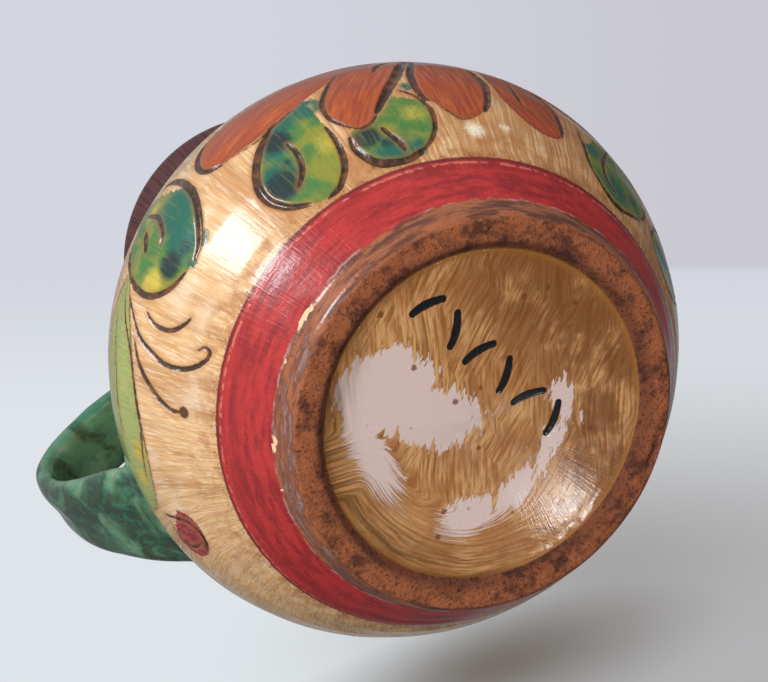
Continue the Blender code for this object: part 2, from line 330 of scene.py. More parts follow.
def made_by(tree, source, inputs, name):
    """The plain mesh that a node tree makes of an object. The object is removed."""
    modifier = source.modifiers.new(tree.name, "NODES")
    modifier.node_group = tree
    for identifier, value in inputs.items():
        modifier[identifier] = value
    bpy.context.view_layer.update()
    mesh = bpy.data.meshes.new_from_object(source.evaluated_get(bpy.context.evaluated_depsgraph_get()))
    source.modifiers.remove(modifier)
    bpy.data.objects.remove(source)
    mesh.name = name
    return mesh


def spaced(start, stop, spacing):
    """Runs from start up to stop, without stop, at about this spacing."""
    return np.linspace(start, stop, max(2, round((stop - start) / spacing) + 1))[:-1]


RUN_DISC = foot_run(FOOT_RADIUS - FOOT_RING_WIDTH - RECESS_BEVEL)
RUN_RING = foot_run(FOOT_RADIUS - FOOT_RING_WIDTH)
RUN_FOOT_EDGE = foot_run(FOOT_RADIUS - FOOT_EDGE)
RUN_FOOT_WALL = outside_run(FOOT_WALL_HEIGHT)
section_runs = np.concatenate([
    spaced(SECTION_RUN[0], RUN_DISC - 0.5, DISC_SPACING),
    spaced(RUN_DISC - 0.5, RUN_FOOT_WALL + 1, FOOT_SPACING),
    spaced(RUN_FOOT_WALL + 1, RUN_LIP - 5, WALL_SPACING),
    spaced(RUN_LIP - 5, RUN_LIP + 5, LIP_SPACING),
    spaced(RUN_LIP + 5, SECTION_RUN[-1], INSIDE_SPACING),
    [SECTION_RUN[-1]],
])
r_row, z_row, _, _ = section_at(section_runs)
line = bpy.data.meshes.new("section")
line.from_pydata([(r, 0, z) for r, z in zip(r_row, z_row)], [(i, i + 1) for i in range(len(r_row) - 1)], [])
line.attributes.new("run", "FLOAT", "POINT").data.foreach_set("value", section_runs.astype(np.float32))
section = bpy.data.objects.new("section", line)
bpy.context.scene.collection.objects.link(section)
glaze = bpy.data.materials.new("brushed_glaze")
wheel, wheel_inputs = turning_tree()
body_mesh = made_by(
    wheel, section, {wheel_inputs["steps"]: TURN_STEPS, wheel_inputs["clay"]: glaze}, "jug_body"
)

# The cut decoration
# Drawn in the leather-hard clay with a blunt point: a flower, leaves between its petals, a long leaf and
# three curls. A place is (angle round the belly in degrees, run in millimetres). A line is thinner towards
# the ends of its stroke.
FLOWER = (303.0, 8.0)
PETAL_POWERS = (1.0, 0.5)
LEAF_POWERS = (0.5, 0.7)
LONG_LEAF_POWERS = (0.9, 0.6)
LINE_SPACING = 0.35
CUT_DEPTH = 0.42
BURR_HEIGHT = 0.09
BURR_WIDTH = 0.35
DRAWN_PETALS = (
    # the side that the photograph shows: each outline, from the flower's middle out to the tip and back
    ((303.0, 8.0), (297.5, 2.5), (291.0, -2.5), (284.3, -7.1), (276.7, -10.9), (270.0, -13.4),
     (262.4, -13.0), (257.7, -11.3), (255.5, -7.6), (256.2, -3.0), (258.8, 0.6), (264.0, 4.3),
     (273.0, 6.6), (284.0, 7.2), (295.0, 7.4)),
    ((303.0, 8.0), (302.3, 2.0), (299.6, -3.9), (295.4, -12.2), (290.5, -19.0), (287.1, -23.0),
     (284.2, -25.5), (281.7, -25.4), (279.5, -21.5), (279.0, -17.5), (281.8, -10.6), (284.9, -6.1),
     (291.0, -1.0), (297.0, 3.5)),
    ((303.0, 8.0), (301.8, 2.0), (301.3, -4.2), (298.6, -11.5), (297.7, -18.3), (299.6, -23.2),
     (303.0, -27.2), (306.4, -27.3), (309.4, -24.9), (311.6, -20.4), (312.5, -13.5), (311.0, -5.5),
     (307.0, 2.0)),
    ((303.0, 8.0), (309.5, 0.5), (313.7, -6.1), (314.3, -13.5), (315.3, -19.3), (317.8, -24.3),
     (321.9, -27.3), (325.8, -27.2), (328.6, -24.6), (329.4, -18.0), (327.5, -10.0), (320.0, -2.0),
     (310.0, 5.0)),
)
DRAWN_LEAVES = (
    ((280.1, -11.9), (276.7, -10.9), (272.8, -12.3), (269.4, -13.9), (265.6, -16.5), (262.1, -20.4),
     (259.9, -24.1), (259.2, -27.6), (260.2, -30.9), (262.5, -33.8), (266.1, -35.6), (270.3, -35.6),
     (274.0, -33.4), (276.3, -30.0), (277.4, -25.2), (277.8, -20.0)),
    ((294.3, -15.9), (292.0, -18.9), (288.6, -22.6), (284.9, -25.2), (280.8, -25.4), (279.1, -28.4),
     (278.9, -31.4), (280.4, -34.1), (284.0, -35.9), (288.1, -36.2), (292.0, -35.1), (295.2, -32.6),
     (297.4, -29.0), (298.1, -25.1), (297.6, -21.9), (296.3, -18.7)),
    ((251.3, -1.7), (251.6, -8.6), (250.3, -14.0), (247.8, -17.9), (244.7, -20.9), (242.1, -22.0),
     (239.0, -21.8), (235.7, -20.2), (233.0, -17.5), (231.3, -13.6), (231.1, -9.0), (232.3, -4.4),
     (234.6, 0.6), (237.4, 4.6), (240.7, 7.5), (245.0, 8.9), (249.3, 5.0)),
    ((333.4, -19.4), (334.1, -23.8), (335.3, -28.4), (337.9, -32.9), (341.9, -35.1), (346.8, -34.8),
     (353.2, -30.7), (355.4, -24.2), (353.2, -18.4), (348.0, -14.2), (341.5, -12.4), (336.5, -14.6)),
)
DRAWN_BUD = ((189.0, -15.0), (189.4, -18.6), (188.6, -21.9), (186.4, -23.6), (183.2, -23.6), (180.2, -22.3),
             (178.0, -19.5), (177.4, -16.8), (178.6, -14.2), (181.4, -12.4), (185.6, -12.8))
PETALS = (
    # the far side, in plainer strokes: tip, width, line width on its left and right, seen from the flower
    ((350.0, -6.0), 19.0, 1.0, 1.0),
    ((343.0, 22.0), 15.0, 1.1, 1.0),
    ((316.0, 37.0), 14.0, 1.0, 1.2),
    ((289.0, 37.0), 14.0, 1.1, 1.1),
    ((262.0, 22.0), 15.0, 1.2, 0.9),
)
LEAVES = (
    # base, tip, width, powers, line width on its left and right, seen from the base
    ((234.0, -3.0), (187.0, -7.0), 20.0, LONG_LEAF_POWERS, 0.45, 0.7),
    ((2.0, -32.0), (16.0, -14.0), 16.0, LEAF_POWERS, 1.1, 1.1),
    ((64.0, -24.0), (42.0, -2.0), 17.0, LEAF_POWERS, 0.9, 0.9),
    ((92.0, -24.0), (113.0, -4.0), 17.0, LEAF_POWERS, 0.9, 0.9),
)
BUDS = (
    ((78.0, -18.0), (78.0, 14.0), 15.0, (0.8, 0.6), 0.9, 0.9),
)
STROKES = (
    # line width, places: the flower and the leaves round it
    (1.55, ((271.0, -12.4), (267.8, -14.3), (264.2, -17.5), (261.5, -20.6), (259.5, -24.0), (258.8, -27.5),
            (259.6, -30.4), (261.3, -32.9), (264.4, -34.9))),
    (1.15, ((277.2, -21.1), (277.1, -25.6), (276.3, -29.6), (274.7, -32.9), (271.6, -35.5),
            (268.0, -36.2))),
    (1.0, ((269.4, -19.8), (269.6, -22.9), (268.9, -26.0), (267.4, -28.4), (265.0, -30.4))),
    (1.6, ((279.7, -26.6), (279.2, -29.6), (280.1, -33.1), (282.1, -35.2), (285.3, -36.2), (288.6, -36.3),
           (292.5, -34.9))),
    (0.9, ((292.0, -35.2), (294.8, -33.1), (297.1, -29.6), (298.0, -25.3), (297.4, -22.0), (296.0, -19.2),
           (294.0, -17.4))),
    (1.1, ((286.3, -26.9), (287.4, -29.7), (288.1, -31.9), (288.2, -34.4))),
    (1.5, ((249.3, 6.0), (251.4, -1.5), (251.7, -8.9), (250.4, -13.8), (247.8, -17.9), (244.3, -21.2),
           (241.6, -22.1))),
    (1.25, ((238.4, -21.4), (235.0, -19.7), (232.3, -16.6), (231.1, -12.9), (231.4, -7.8), (233.0, -2.4),
            (235.3, 2.4), (238.4, 6.2), (242.5, 8.9))),
    (0.95, ((243.0, 2.8), (244.0, -2.3), (243.9, -6.1), (242.4, -9.6), (240.2, -11.0))),
    (1.5, ((240.5, -1.7), (239.2, -5.0), (237.7, -7.1))),
    (0.95, ((334.2, -17.5), (335.0, -27.0), (338.0, -32.4), (342.0, -34.7), (346.9, -34.4),
            (353.2, -30.5))),
    (0.95, ((343.2, -15.1), (340.1, -23.7), (340.7, -28.7), (343.6, -31.6))),
    (0.8, ((349.0, -14.0), (353.6, -18.4), (355.6, -24.2), (353.8, -29.6))),
    (1.2, ((263.5, 3.6), (259.8, 1.4), (256.6, -2.4), (255.3, -7.2), (256.2, -10.2), (258.6, -12.0))),
    (0.5, ((264.0, 4.0), (273.0, 6.4), (284.0, 7.0), (295.0, 7.6))),
    (0.45, ((259.5, -12.3), (267.0, -13.9), (276.0, -11.2))),
    (0.9, ((286.5, -4.8), (284.5, -7.1), (281.6, -11.2), (279.4, -15.4), (278.9, -19.2), (279.8, -22.2),
           (281.4, -24.8))),
    (0.6, ((281.2, -24.6), (283.0, -25.6), (285.4, -25.0), (287.2, -23.2))),
    (1.9, ((302.4, 3.0), (300.8, -2.0), (298.2, -6.8), (295.5, -11.9), (292.2, -16.7), (289.6, -20.0),
           (287.4, -22.8))),
    (0.9, ((297.6, -0.5), (294.5, -4.2), (292.6, -7.9))),
    (1.4, ((302.0, -1.0), (301.3, -4.4), (299.0, -10.1), (297.8, -15.7), (297.7, -19.3), (298.6, -22.0))),
    (1.5, ((309.4, 0.0), (312.0, -6.0), (312.9, -12.8), (312.4, -17.7), (311.1, -22.2), (309.6, -25.0))),
    (0.5, ((299.8, -23.4), (301.6, -25.8), (303.4, -27.7), (306.4, -27.5))),
    (0.9, ((317.0, 0.0), (319.6, -7.4), (319.3, -14.3), (320.0, -19.5))),
    (1.2, ((322.0, -2.0), (326.0, -8.8), (327.8, -14.2), (328.8, -19.4), (328.1, -25.0))),
    # the curls, the long leaf's veins and the bud
    (0.85, ((228.6, -14.9), (227.3, -17.2), (226.9, -20.5), (227.7, -23.6), (229.4, -25.6),
            (231.4, -27.0))),
    (0.95, ((229.4, -7.0), (226.0, -10.9), (223.5, -14.5), (221.8, -18.7), (220.7, -22.6), (220.9, -27.2),
            (222.4, -30.6), (224.6, -32.8), (226.4, -33.2), (226.8, -31.8), (225.7, -30.3))),
    (1.0, ((222.6, -12.6), (219.7, -14.5), (216.8, -17.2), (214.3, -20.5), (212.7, -23.5), (212.0, -25.8),
           (212.2, -28.0))),
    (0.65, ((230.6, -3.6), (225.1, -7.5), (220.4, -11.2), (216.1, -13.0), (210.7, -14.4), (205.9, -14.9),
            (200.6, -13.6), (195.0, -11.9))),
    (0.55, ((226.0, -1.4), (222.1, -2.6), (215.1, -5.0), (209.4, -5.4), (203.0, -6.0))),
    (0.8, ((187.4, -13.2), (187.2, -17.2), (186.4, -20.7), (184.4, -22.6), (181.2, -22.3), (178.8, -20.0))),
    (0.6, ((185.6, -13.6), (182.4, -13.3), (180.2, -14.6), (179.9, -17.6), (181.4, -20.6))),
    # the far side
    (0.9, ((150.0, -2.0), (153.5, -7.0), (156.2, -11.9))),
    (0.9, ((131.0, -6.0), (134.0, -11.5), (137.9, -16.5))),
    (0.7, ((10.0, -26.0), (12.0, -20.0))),
    (0.7, ((58.0, -19.0), (52.0, -13.0), (49.0, -8.0))),
    (0.7, ((98.0, -19.0), (104.0, -14.0), (107.5, -9.0))),
    (0.7, ((78.0, -38.0), (77.4, -30.0), (78.0, -19.0))),
    (0.7, ((77.6, -32.0), (71.0, -33.5), (66.0, -30.5), (64.0, -25.0))),
    (0.7, ((77.6, -32.0), (85.0, -33.5), (90.0, -30.5), (92.0, -25.0))),
    (0.7, ((76.0, -8.0), (75.4, 0.0), (77.0, 8.0))),
    (0.7, ((80.0, -8.0), (80.6, 0.0), (79.0, 8.0))),
)
TAPER = 0.35  # how thin a line is at its two ends
PRESSURE = 1.15
BAND_TOP = 13.7  # the band's upper edge, in millimetres above the foot, which rises on one side
BAND_TILT = 1.3
BAND_TILT_ANGLE = 170


def curve_through(places, spacing):
    """A smooth line (Catmull-Rom) through these places, as resampled gives it."""
    given = np.array(places, float)
    around = np.vstack([2 * given[0] - given[1], given, 2 * given[-1] - given[-2]])
    t = np.linspace(0, 1, 24, endpoint=False)[:, None]
    stretches = []
    for a, b, c, d in zip(around, around[1:], around[2:], around[3:]):
        stretches.append(b + (c - a) * t / 2 + (a - 2.5 * b + 2 * c - d / 2) * t**2
                         + (-a / 2 + 1.5 * b - 1.5 * c + d / 2) * t**3)
    line = np.vstack([*stretches, given[-1:]])
    return resampled(line, spacing)


def resampled(line, spacing):
    """Points at this spacing on a line of places, with each one's share of it."""
    lengths = lengths_along(line * (math.radians(1) * BELLY_RADIUS / MM, 1))
    wanted = np.linspace(0, lengths[-1], max(3, round(lengths[-1] / spacing)))
    return np.stack([np.interp(wanted, lengths, line[:, i]) for i in (0, 1)], axis=1), wanted / lengths[-1]


def half_width(t, width, powers):
    """Half the width of a petal or leaf at the share t of its length."""
    widest = powers[0] / (powers[0] + powers[1])
    t = np.clip(t, 0, 1)
    return width / 2 * (t / widest) ** powers[0] * ((1 - t) / (1 - widest)) ** powers[1]


def blade_frame(base, tip):
    """A blade's middle place, its base and its unit direction on the flat (millimetres), and its length."""
    middle = ((base[0] + tip[0]) / 2, (base[1] + tip[1]) / 2)
    ends = []
    for angle, run in (base, tip):
        radius = float(section_at(run)[0]) / MM
        ends.append(np.array((math.radians(angle - middle[0]) * radius, run - middle[1])))
    length = float(np.hypot(*(ends[1] - ends[0])))
    return middle, ends[0], (ends[1] - ends[0]) / length, length


def blade_side(base, tip, width, powers, side):
    """One long edge of a blade, from base to tip, as places. Side is 1 for its left and -1 for its right."""
    middle, start, (ux, uy), length = blade_frame(base, tip)
    t = (1 - np.cos(np.pi * np.linspace(0, 1, 80))) / 2
    half = half_width(t, width, powers) * side
    x = start[0] + ux * t * length - uy * half
    run = middle[1] + start[1] + uy * t * length + ux * half
    angle = middle[0] + np.degrees(x / (section_at(run)[0] / MM))
    return np.stack([angle, run], axis=1)


def on_wall(places):
    """Points in space, round the turned axis, of places on the outside."""
    angle, run = np.radians(places[:, 0]), places[:, 1]
    r, z, _, _ = section_at(run)
    return np.stack([r * np.cos(angle), r * np.sin(angle), z], axis=1)


def swelling(share):
    """How the point is pressed along a stroke: lightly at its ends."""
    return TAPER + (1 - TAPER) * np.sqrt(np.clip(np.sin(np.pi * share), 0, 1))


def blade_outline(base, tip, width, powers):
    left, right = (blade_side(base, tip, width, powers, side) for side in (1, -1))
    return np.vstack([left, right[::-1]])


def drawn_outline(places):
    """A closed smooth outline through these places."""
    closed = (*places[-2:], *places, *places[:2])
    line, _ = curve_through(closed, LINE_SPACING)
    return line


far_petals = [(FLOWER, tip, width, PETAL_POWERS, left, right) for tip, width, left, right in PETALS]
petal_outlines = [drawn_outline(places) for places in DRAWN_PETALS]
petal_outlines += [blade_outline(*petal[:4]) for petal in far_petals]
leaf_outlines = [drawn_outline(places) for places in DRAWN_LEAVES]
leaf_outlines += [blade_outline(*leaf[:4]) for leaf in LEAVES]
bud_outlines = [drawn_outline(DRAWN_BUD)] + [blade_outline(*bud[:4]) for bud in BUDS]
cuts = []  # (places, half width at each)
for base, tip, width, powers, left, right in (*far_petals, *LEAVES, *BUDS):
    for side, line_width in ((1, left), (-1, right)):
        places, share = resampled(blade_side(base, tip, width, powers, side), LINE_SPACING)
        cuts.append((places, line_width / 2 * swelling(share)))
for line_width, places in STROKES:
    places, share = curve_through(places, LINE_SPACING)
    cuts.append((places, PRESSURE * line_width / 2 * swelling(share)))
cut_points = np.vstack([on_wall(places) for places, _ in cuts])
cut_halves = np.concatenate([half for _, half in cuts])

# Marks on the underside
# A row of slanted brush marks in black glaze, which are no letters, on the glazed disc inside the foot
# ring. Places on the disc are millimetres from its middle.
MARK_WIDTH = 1.7
MARK_START = (1.0, -25.0)
MARK_END = (10.5, 8.0)
MARK_LENGTH = 6.2
MARK_SLANTS = (25, -30, 20, -24, 32, -20)
MARK_BEND = 0.5
MARK_THINNING = 0.18  # how much thinner a mark is at its ends
MARK_RELIEF = 0.05

along = np.array(MARK_END) - np.array(MARK_START)
along_unit = along / np.hypot(*along)
marks = []
for number, slant in enumerate(MARK_SLANTS):
    middle = np.array(MARK_START) + along * number / (len(MARK_SLANTS) - 1)
    turn = math.atan2(along_unit[1], along_unit[0]) + math.pi / 2 + math.radians(slant)
    reach = np.array((math.cos(turn), math.sin(turn))) * MARK_LENGTH / 2
    bend = along_unit * MARK_BEND * (1 if number % 2 else -1)
    for t in np.linspace(-1, 1, 18):
        half = MARK_WIDTH / 2 * (1 - MARK_THINNING * abs(t))
        marks.append((*(middle + reach * t + bend * (1 - t * t)), half))
marks = np.array(marks)
mark_points = np.column_stack([marks[:, 0] * MM, marks[:, 1] * MM, np.full(len(marks), RECESS_DEPTH)])


def tree_of(points):
    tree = KDTree(len(points))
    for i, point in enumerate(points):
        tree.insert(point, i)
    tree.balance()
    return tree


FAR_OFF = 9.0  # the distance, in millimetres, given to points that are near no line


def nearest(tree, points, wanted):
    """(distance in millimetres, index) of the nearest tree point. Points that aren't wanted are far off."""
    distance = np.full(len(points), FAR_OFF)
    index = np.zeros(len(points), int)
    for i in np.nonzero(wanted)[0]:
        _, index[i], found = tree.find(points[i])
        distance[i] = found / MM
    return distance, index


def points_of(mesh):
    """The places of a mesh's points, one to a row."""
    places = np.empty(len(mesh.vertices) * 3)
    mesh.vertices.foreach_get("co", places)
    return places.reshape(-1, 3)


def values_of(mesh, name):
    """What a mesh keeps under this name, for each point."""
    values = np.empty(len(mesh.vertices), np.float32)
    mesh.attributes[name].data.foreach_get("value", values)
    return values


line_tree = tree_of(np.vstack([cut_points, mark_points]))
work = bmesh.new()
work.from_mesh(body_mesh)
run_layer = work.verts.layers.float["run"]
RUN_SHOULDER = outside_run(NECK_HEIGHT)
for reach in CUT_REACH:
    near = set()
    for vertex in work.verts:
        run = vertex[run_layer]
        if run < RUN_SHOULDER and (run > RUN_FOOT_WALL or run < RUN_DISC):
            if line_tree.find(vertex.co)[2] / MM < reach:
                near.add(vertex)
    faces = [face for face in work.faces if any(v in near for v in face.verts)]
    edges = list({edge for face in faces for edge in face.edges})
    bmesh.ops.subdivide_edges(work, edges=edges, cuts=1, use_grid_fill=True)
bmesh.ops.triangulate(work, faces=[face for face in work.faces if len(face.verts) > 4])
bmesh.ops.recalc_face_normals(work, faces=work.faces)
work.to_mesh(body_mesh)
work.free()

count = len(body_mesh.vertices)
at = points_of(body_mesh)
run = values_of(body_mesh, "run").astype(float)
turn = np.arctan2(at[:, 1], at[:, 0])
degrees = np.degrees(turn) % 360
r_at, z_at, out_r, out_z = section_at(run)
at = np.stack([r_at * np.cos(turn), r_at * np.sin(turn), z_at], axis=1)
on_outside = (run > RUN_FOOT_WALL) & (run < RUN_SHOULDER)
on_disc = run < RUN_DISC

# What the hand left
# Throwing rings, a slightly uneven round, the cuts with the clay that they threw up, ridges in the band, a
# worn and chipped foot ring, and the brush marks standing up a little in the glaze. All in millimetres
# along the normal.
WOBBLE = 0.22
THROWING_RING = 0.07
THROWING_RING_LENGTH = 8.5
BAND_RIDGES = ((-35.5, 0.20, 0.75), (-39.6, 0.24, 0.9))  # run, depth, half width
RING_ROUGHNESS = 0.16
RING_CHIPS = ((46, 6, 1.0), (52, 4, 0.8), (72, 7, 1.1), (97, 3, 0.6), (282, 4, 0.5), (205, 3, 0.5))
GLAZE_CHIPS = ((209, 3.4), (231, 1.5), (243, 5.5), (196, 0.9))  # angle, length in degrees
CHIP_DEPTH = 0.3
CUT_SPREAD = 1.15  # how far a cut's sides reach, in half widths of its line
BURR_PLACE = 1.55  # how far from a cut's middle the clay thrown up stands, in half widths
LINE_HALF = 0.6  # the half width at which a line has its full depth
CHIP_WIDTH = 0.6
SPECKS = (0.0016, 0.0007)  # sizes of the grain on the bare ring, in metres


def rough(points, size, seed):
    """Smooth noise from -1 to 1 at each point, with features of this size in metres."""
    shift = Vector((seed * 3.1, seed * 1.7, seed * 2.3))
    return np.array([noise.noise(Vector(p) / size + shift) for p in points])


def bump(value, width):
    return np.exp(-((value / width) ** 2))


def degrees_from(angle):
    """How far round the body each point is from this angle, from -180 to 180 degrees."""
    return (degrees - angle + 180) % 360 - 180


cut_distance, cut_index = nearest(tree_of(cut_points), at, on_outside)
cut = cut_distance - cut_halves[cut_index]
mark_distance, mark_index = nearest(tree_of(mark_points), at, on_disc)
mark = mark_distance - marks[mark_index, 2]

move = WOBBLE * rough(at, 0.05, 1) * np.clip((run - RUN_FOOT_WALL) / 20, 0, 1)
rings = np.sin(run / THROWING_RING_LENGTH * math.tau + 2 * rough(at, 0.03, 2))
move += THROWING_RING * rings * np.clip((run - RUN_FOOT_WALL) / 10, 0, 1)
for ridge_run, depth, half in BAND_RIDGES:
    drift = 1.2 * rough(np.stack([np.cos(turn), np.sin(turn), run * 0], axis=1), 0.6, 3)
    move -= depth * bump(run - ridge_run - drift, half)
half = cut_halves[cut_index]
inside_cut = np.clip(1 - (cut_distance / (half * CUT_SPREAD)) ** 2, 0, 1)
strength = np.clip(half / LINE_HALF, 0.35, 1.1)
move -= CUT_DEPTH * strength * inside_cut**1.5
burr = bump(cut_distance - half * BURR_PLACE, BURR_WIDTH) * (0.6 + 0.6 * rough(at, 0.004, 4))
move += BURR_HEIGHT * strength * burr * on_outside
move += MARK_RELIEF * np.clip(-mark / 0.3, 0, 1) * on_disc
on_ring = bump(np.clip(RUN_DISC - run, 0, None) + np.clip(run - RUN_FOOT_EDGE - 1, 0, None), 0.8)
grain = rough(at, SPECKS[0], 5) + 0.6 * rough(at, SPECKS[1], 6)
move -= RING_ROUGHNESS * on_ring * (0.5 + 0.5 * grain)
for angle, length, depth in RING_CHIPS:
    off = degrees_from(angle)
    edge = run - RUN_FOOT_EDGE - 0.6
    ragged = 0.7 * rough(at, 0.0022, 7)
    move -= depth * bump(off, length) * bump(edge + ragged, 1.3) * on_ring
chip = np.full(count, -3.0)
for angle, length in GLAZE_CHIPS:
    off = degrees_from(angle) / length
    across = (run - RUN_FOOT_WALL - 0.4 - 0.9 * rough(at, SPECKS[0], 8)) / CHIP_WIDTH
    chip = np.maximum(chip, 1 - np.hypot(off, across))
move -= CHIP_DEPTH * np.clip(chip * 1.5, 0, 1)
at[:, 0] += move * MM * out_r * np.cos(turn)
at[:, 1] += move * MM * out_r * np.sin(turn)
at[:, 2] += move * MM * out_z
at[:, 2] = np.maximum(at[:, 2], 0)

# The pulled lip
# One finger drew the rim out and up while two held it in on either side.
weight = np.clip((at[:, 2] - LIP_START_HEIGHT) / (HEIGHT - LIP_START_HEIGHT), 0, 1) ** 2
side_angle = np.degrees(turn)
spout = bump(side_angle, LIP_HALF_ANGLE)
pinch = bump(np.abs(side_angle) - LIP_PINCH_ANGLE, LIP_HALF_ANGLE / 2)
radius = np.maximum(np.hypot(at[:, 0], at[:, 1]), 1e-6)
grow = 1 + weight * (LIP_REACH * spout - LIP_PINCH * pinch) / radius
at[:, 0] *= grow
at[:, 1] *= grow
at[:, 2] += weight * LIP_RISE * spout
at[:, 0] += AXIS_X
body_mesh.vertices.foreach_set("co", at.ravel())
body_mesh.update()

# The glaze's own maps
# Where each colour was brushed, as distances in millimetres from the drawn outlines, kept on its points.
BLOTCHES = {
    # place, radius, strength
    "dark": (
        ((268.3, -17.8), 3.4, 1.1), ((263.2, -27.6), 4.2, 1.15), ((267.0, -24.0), 1.6, 0.7),
        ((282.6, -28.2), 3.2, 1.15), ((285.6, -31.2), 1.8, 0.8), ((238.2, -16.6), 3.4, 1.1),
        ((242.5, -17.8), 2.2, 0.8), ((350.1, -26.5), 3.0, 0.7), ((337.7, -17.5), 1.6, 0.8),
        ((57.0, -16.0), 2.6, 0.8), ((100.0, -14.0), 2.6, 0.8), ((8.0, -24.0), 2.6, 0.8),
    ),
    "teal": (
        ((277.1, -13.5), 4.5, 1.0), ((270.5, -13.5), 4.5, 1.0), ((267.0, -18.5), 4.6, 1.0),
        ((263.6, -26.0), 5.6, 1.0), ((286.0, -33.0), 4.2, 1.0), ((291.5, -34.3), 3.4, 0.8),
        ((296.1, -16.5), 3.2, 0.8), ((247.0, -9.5), 6.6, 1.15), ((243.5, -16.5), 5.2, 1.1),
        ((245.8, -21.0), 2.9, 1.0), ((240.8, -22.0), 2.4, 0.8), ((344.0, -29.0), 6.0, 0.8),
        ((336.5, -22.0), 4.5, 0.8), ((210.0, -1.0), 5.0, 0.3), ((54.0, -12.0), 5.0, 0.8),
        ((103.0, -11.0), 5.0, 0.8), ((6.0, -28.0), 5.0, 0.8),
    ),
    "yellow": (
        ((259.8, -32.6), 2.2, 0.8), ((233.3, -13.5), 4.0, 1.0), ((244.5, 0.5), 3.6, 0.7),
        ((299.8, -21.0), 2.8, 1.3), ((275.5, -25.0), 4.2, 0.6), ((294.0, -25.0), 4.2, 0.6),
        ((201.0, -12.0), 4.0, 0.8), ((195.0, -10.0), 4.0, 0.7), ((342.8, -22.9), 3.0, 0.5),
        ((46.0, -5.0), 4.0, 0.7), ((110.0, -6.0), 4.0, 0.7),
    ),
    "stain": (
        ((212.3, -28.4), 1.2, 1.6), ((280.0, -35.2), 1.2, 0.7), ((276.0, -37.0), 1.0, 0.6),
        ((273.2, -38.2), 0.8, 0.6), ((201.4, -24.1), 0.6, 0.9), ((227.4, -32.0), 1.2, 0.5),
        ((231.0, -26.4), 1.0, 0.5), ((312.0, -34.0), 0.7, 0.6), ((124.0, -28.0), 0.8, 0.8),
        ((31.0, -25.0), 0.7, 0.8),
    ),
    "bare": (
        ((305.4, -31.0), 2.6, 0.8), ((312.9, -29.3), 1.6, 0.8), ((321.0, -33.0), 1.6, 0.5),
        ((298.0, -34.5), 2.0, 0.4),
    ),
}
INSIDE_FIRST = 30  # a shape that a point is inside wins over one that is nearer by this much
BLADE_SHIFT = 40  # sets the brush streaks of each petal and leaf apart
NEAR_BLADE = 6  # points this far past a shape's reach take no part in it
HANDLE_LOW_HEIGHT = 0.0505
HANDLE_TOP_HEIGHT = 0.1185
HANDLE_LOW_WIDTH = 0.0275
HANDLE_TOP_WIDTH = 0.0185
ROOT_HALF_HEIGHTS = (0.0047, 0.0031)  # over half the strap's thickness, since it meets the wall at a slant
HANDLE_ANGLE = 180


def kept(mesh, name, values):
    mesh.attributes.new(name, "FLOAT", "POINT").data.foreach_set("value", np.asarray(values, np.float32))


def filled(outlines):
    """How far inside these outlines each point is, and its place along and across the nearest one."""
    edges = tree_of(np.vstack([on_wall(line) for line in outlines]))
    distance, _ = nearest(edges, round_places, on_outside)
    inside = np.zeros(count, bool)
    closest = np.full(count, 1e9)
    along, across = np.zeros(count), np.zeros(count)
    for number, line in enumerate(outlines):
        middle = line.mean(axis=0)
        scale = math.radians(1) * float(section_at(middle[1])[0]) / MM
        flat = (line - middle) * (scale, 1)
        spread = np.linalg.svd(flat, full_matrices=False)[2][0]
        x, y = degrees_from(middle[0]), run - middle[1]
        reach = np.hypot(x * scale, y)
        near = on_outside & (reach < np.hypot(*flat.T).max() + NEAR_BLADE)
        px, py = x[near] * scale, y[near]
        odd = np.zeros(px.shape, bool)
        for (ax, ay), (bx, by) in zip(flat, np.roll(flat, -1, axis=0)):
            if ay != by:
                odd ^= ((ay > py) != (by > py)) & (px < (bx - ax) * (py - ay) / (by - ay) + ax)
        inside[near] |= odd
        score = reach[near] - INSIDE_FIRST * odd
        better = score < closest[near]
        chosen = np.nonzero(near)[0][better]
        closest[chosen] = score[better]
        along[chosen] = (px * spread[0] + py * spread[1])[better] + BLADE_SHIFT * number
        across[chosen] = (py * spread[0] - px * spread[1])[better]
    return np.where(inside, distance, -distance), along, across


round_places = np.stack([r_at * np.cos(turn), r_at * np.sin(turn), z_at], axis=1)
petal, petal_along, petal_across = filled(petal_outlines)
leaf, leaf_along, leaf_across = filled(leaf_outlines)
bud, _, _ = filled(bud_outlines)
long_leaf, _, _ = filled(leaf_outlines[len(DRAWN_LEAVES):len(DRAWN_LEAVES) + 1])
in_petal = petal > np.maximum(leaf, -0.2)
for name, values in (
    ("cut", cut),
    ("mark", mark),
    ("petal", petal),
    ("leaf", leaf),
    ("long_leaf", long_leaf),
    ("bud", bud),
    ("chip", chip),
    ("along", np.where(in_petal, petal_along, leaf_along)),
    ("across", np.where(in_petal, petal_across, leaf_across)),
):
    kept(body_mesh, name, values)
for name, blotches in BLOTCHES.items():
    total = np.zeros(count)
    for (angle, middle_run), radius, strength in blotches:
        off = np.radians(degrees_from(angle)) * r_at / MM
        total = np.maximum(total, strength * bump(np.hypot(off, run - middle_run), radius))
    kept(body_mesh, name, total * on_outside)
root = np.full(count, FAR_OFF)
for height, width, half_z in zip((HANDLE_LOW_HEIGHT, HANDLE_TOP_HEIGHT), (HANDLE_LOW_WIDTH, HANDLE_TOP_WIDTH),
                                 ROOT_HALF_HEIGHTS):
    off = np.radians(degrees_from(HANDLE_ANGLE)) * r_at
    half_y = width / 2
    reach = np.hypot(off / half_y, (z_at - height) / half_z)
    away = np.hypot(off, z_at - height)
    root = np.minimum(root, (reach - 1) / np.maximum(reach, 1e-6) * away / MM)
kept(body_mesh, "root", np.clip(root, -FAR_OFF, FAR_OFF))

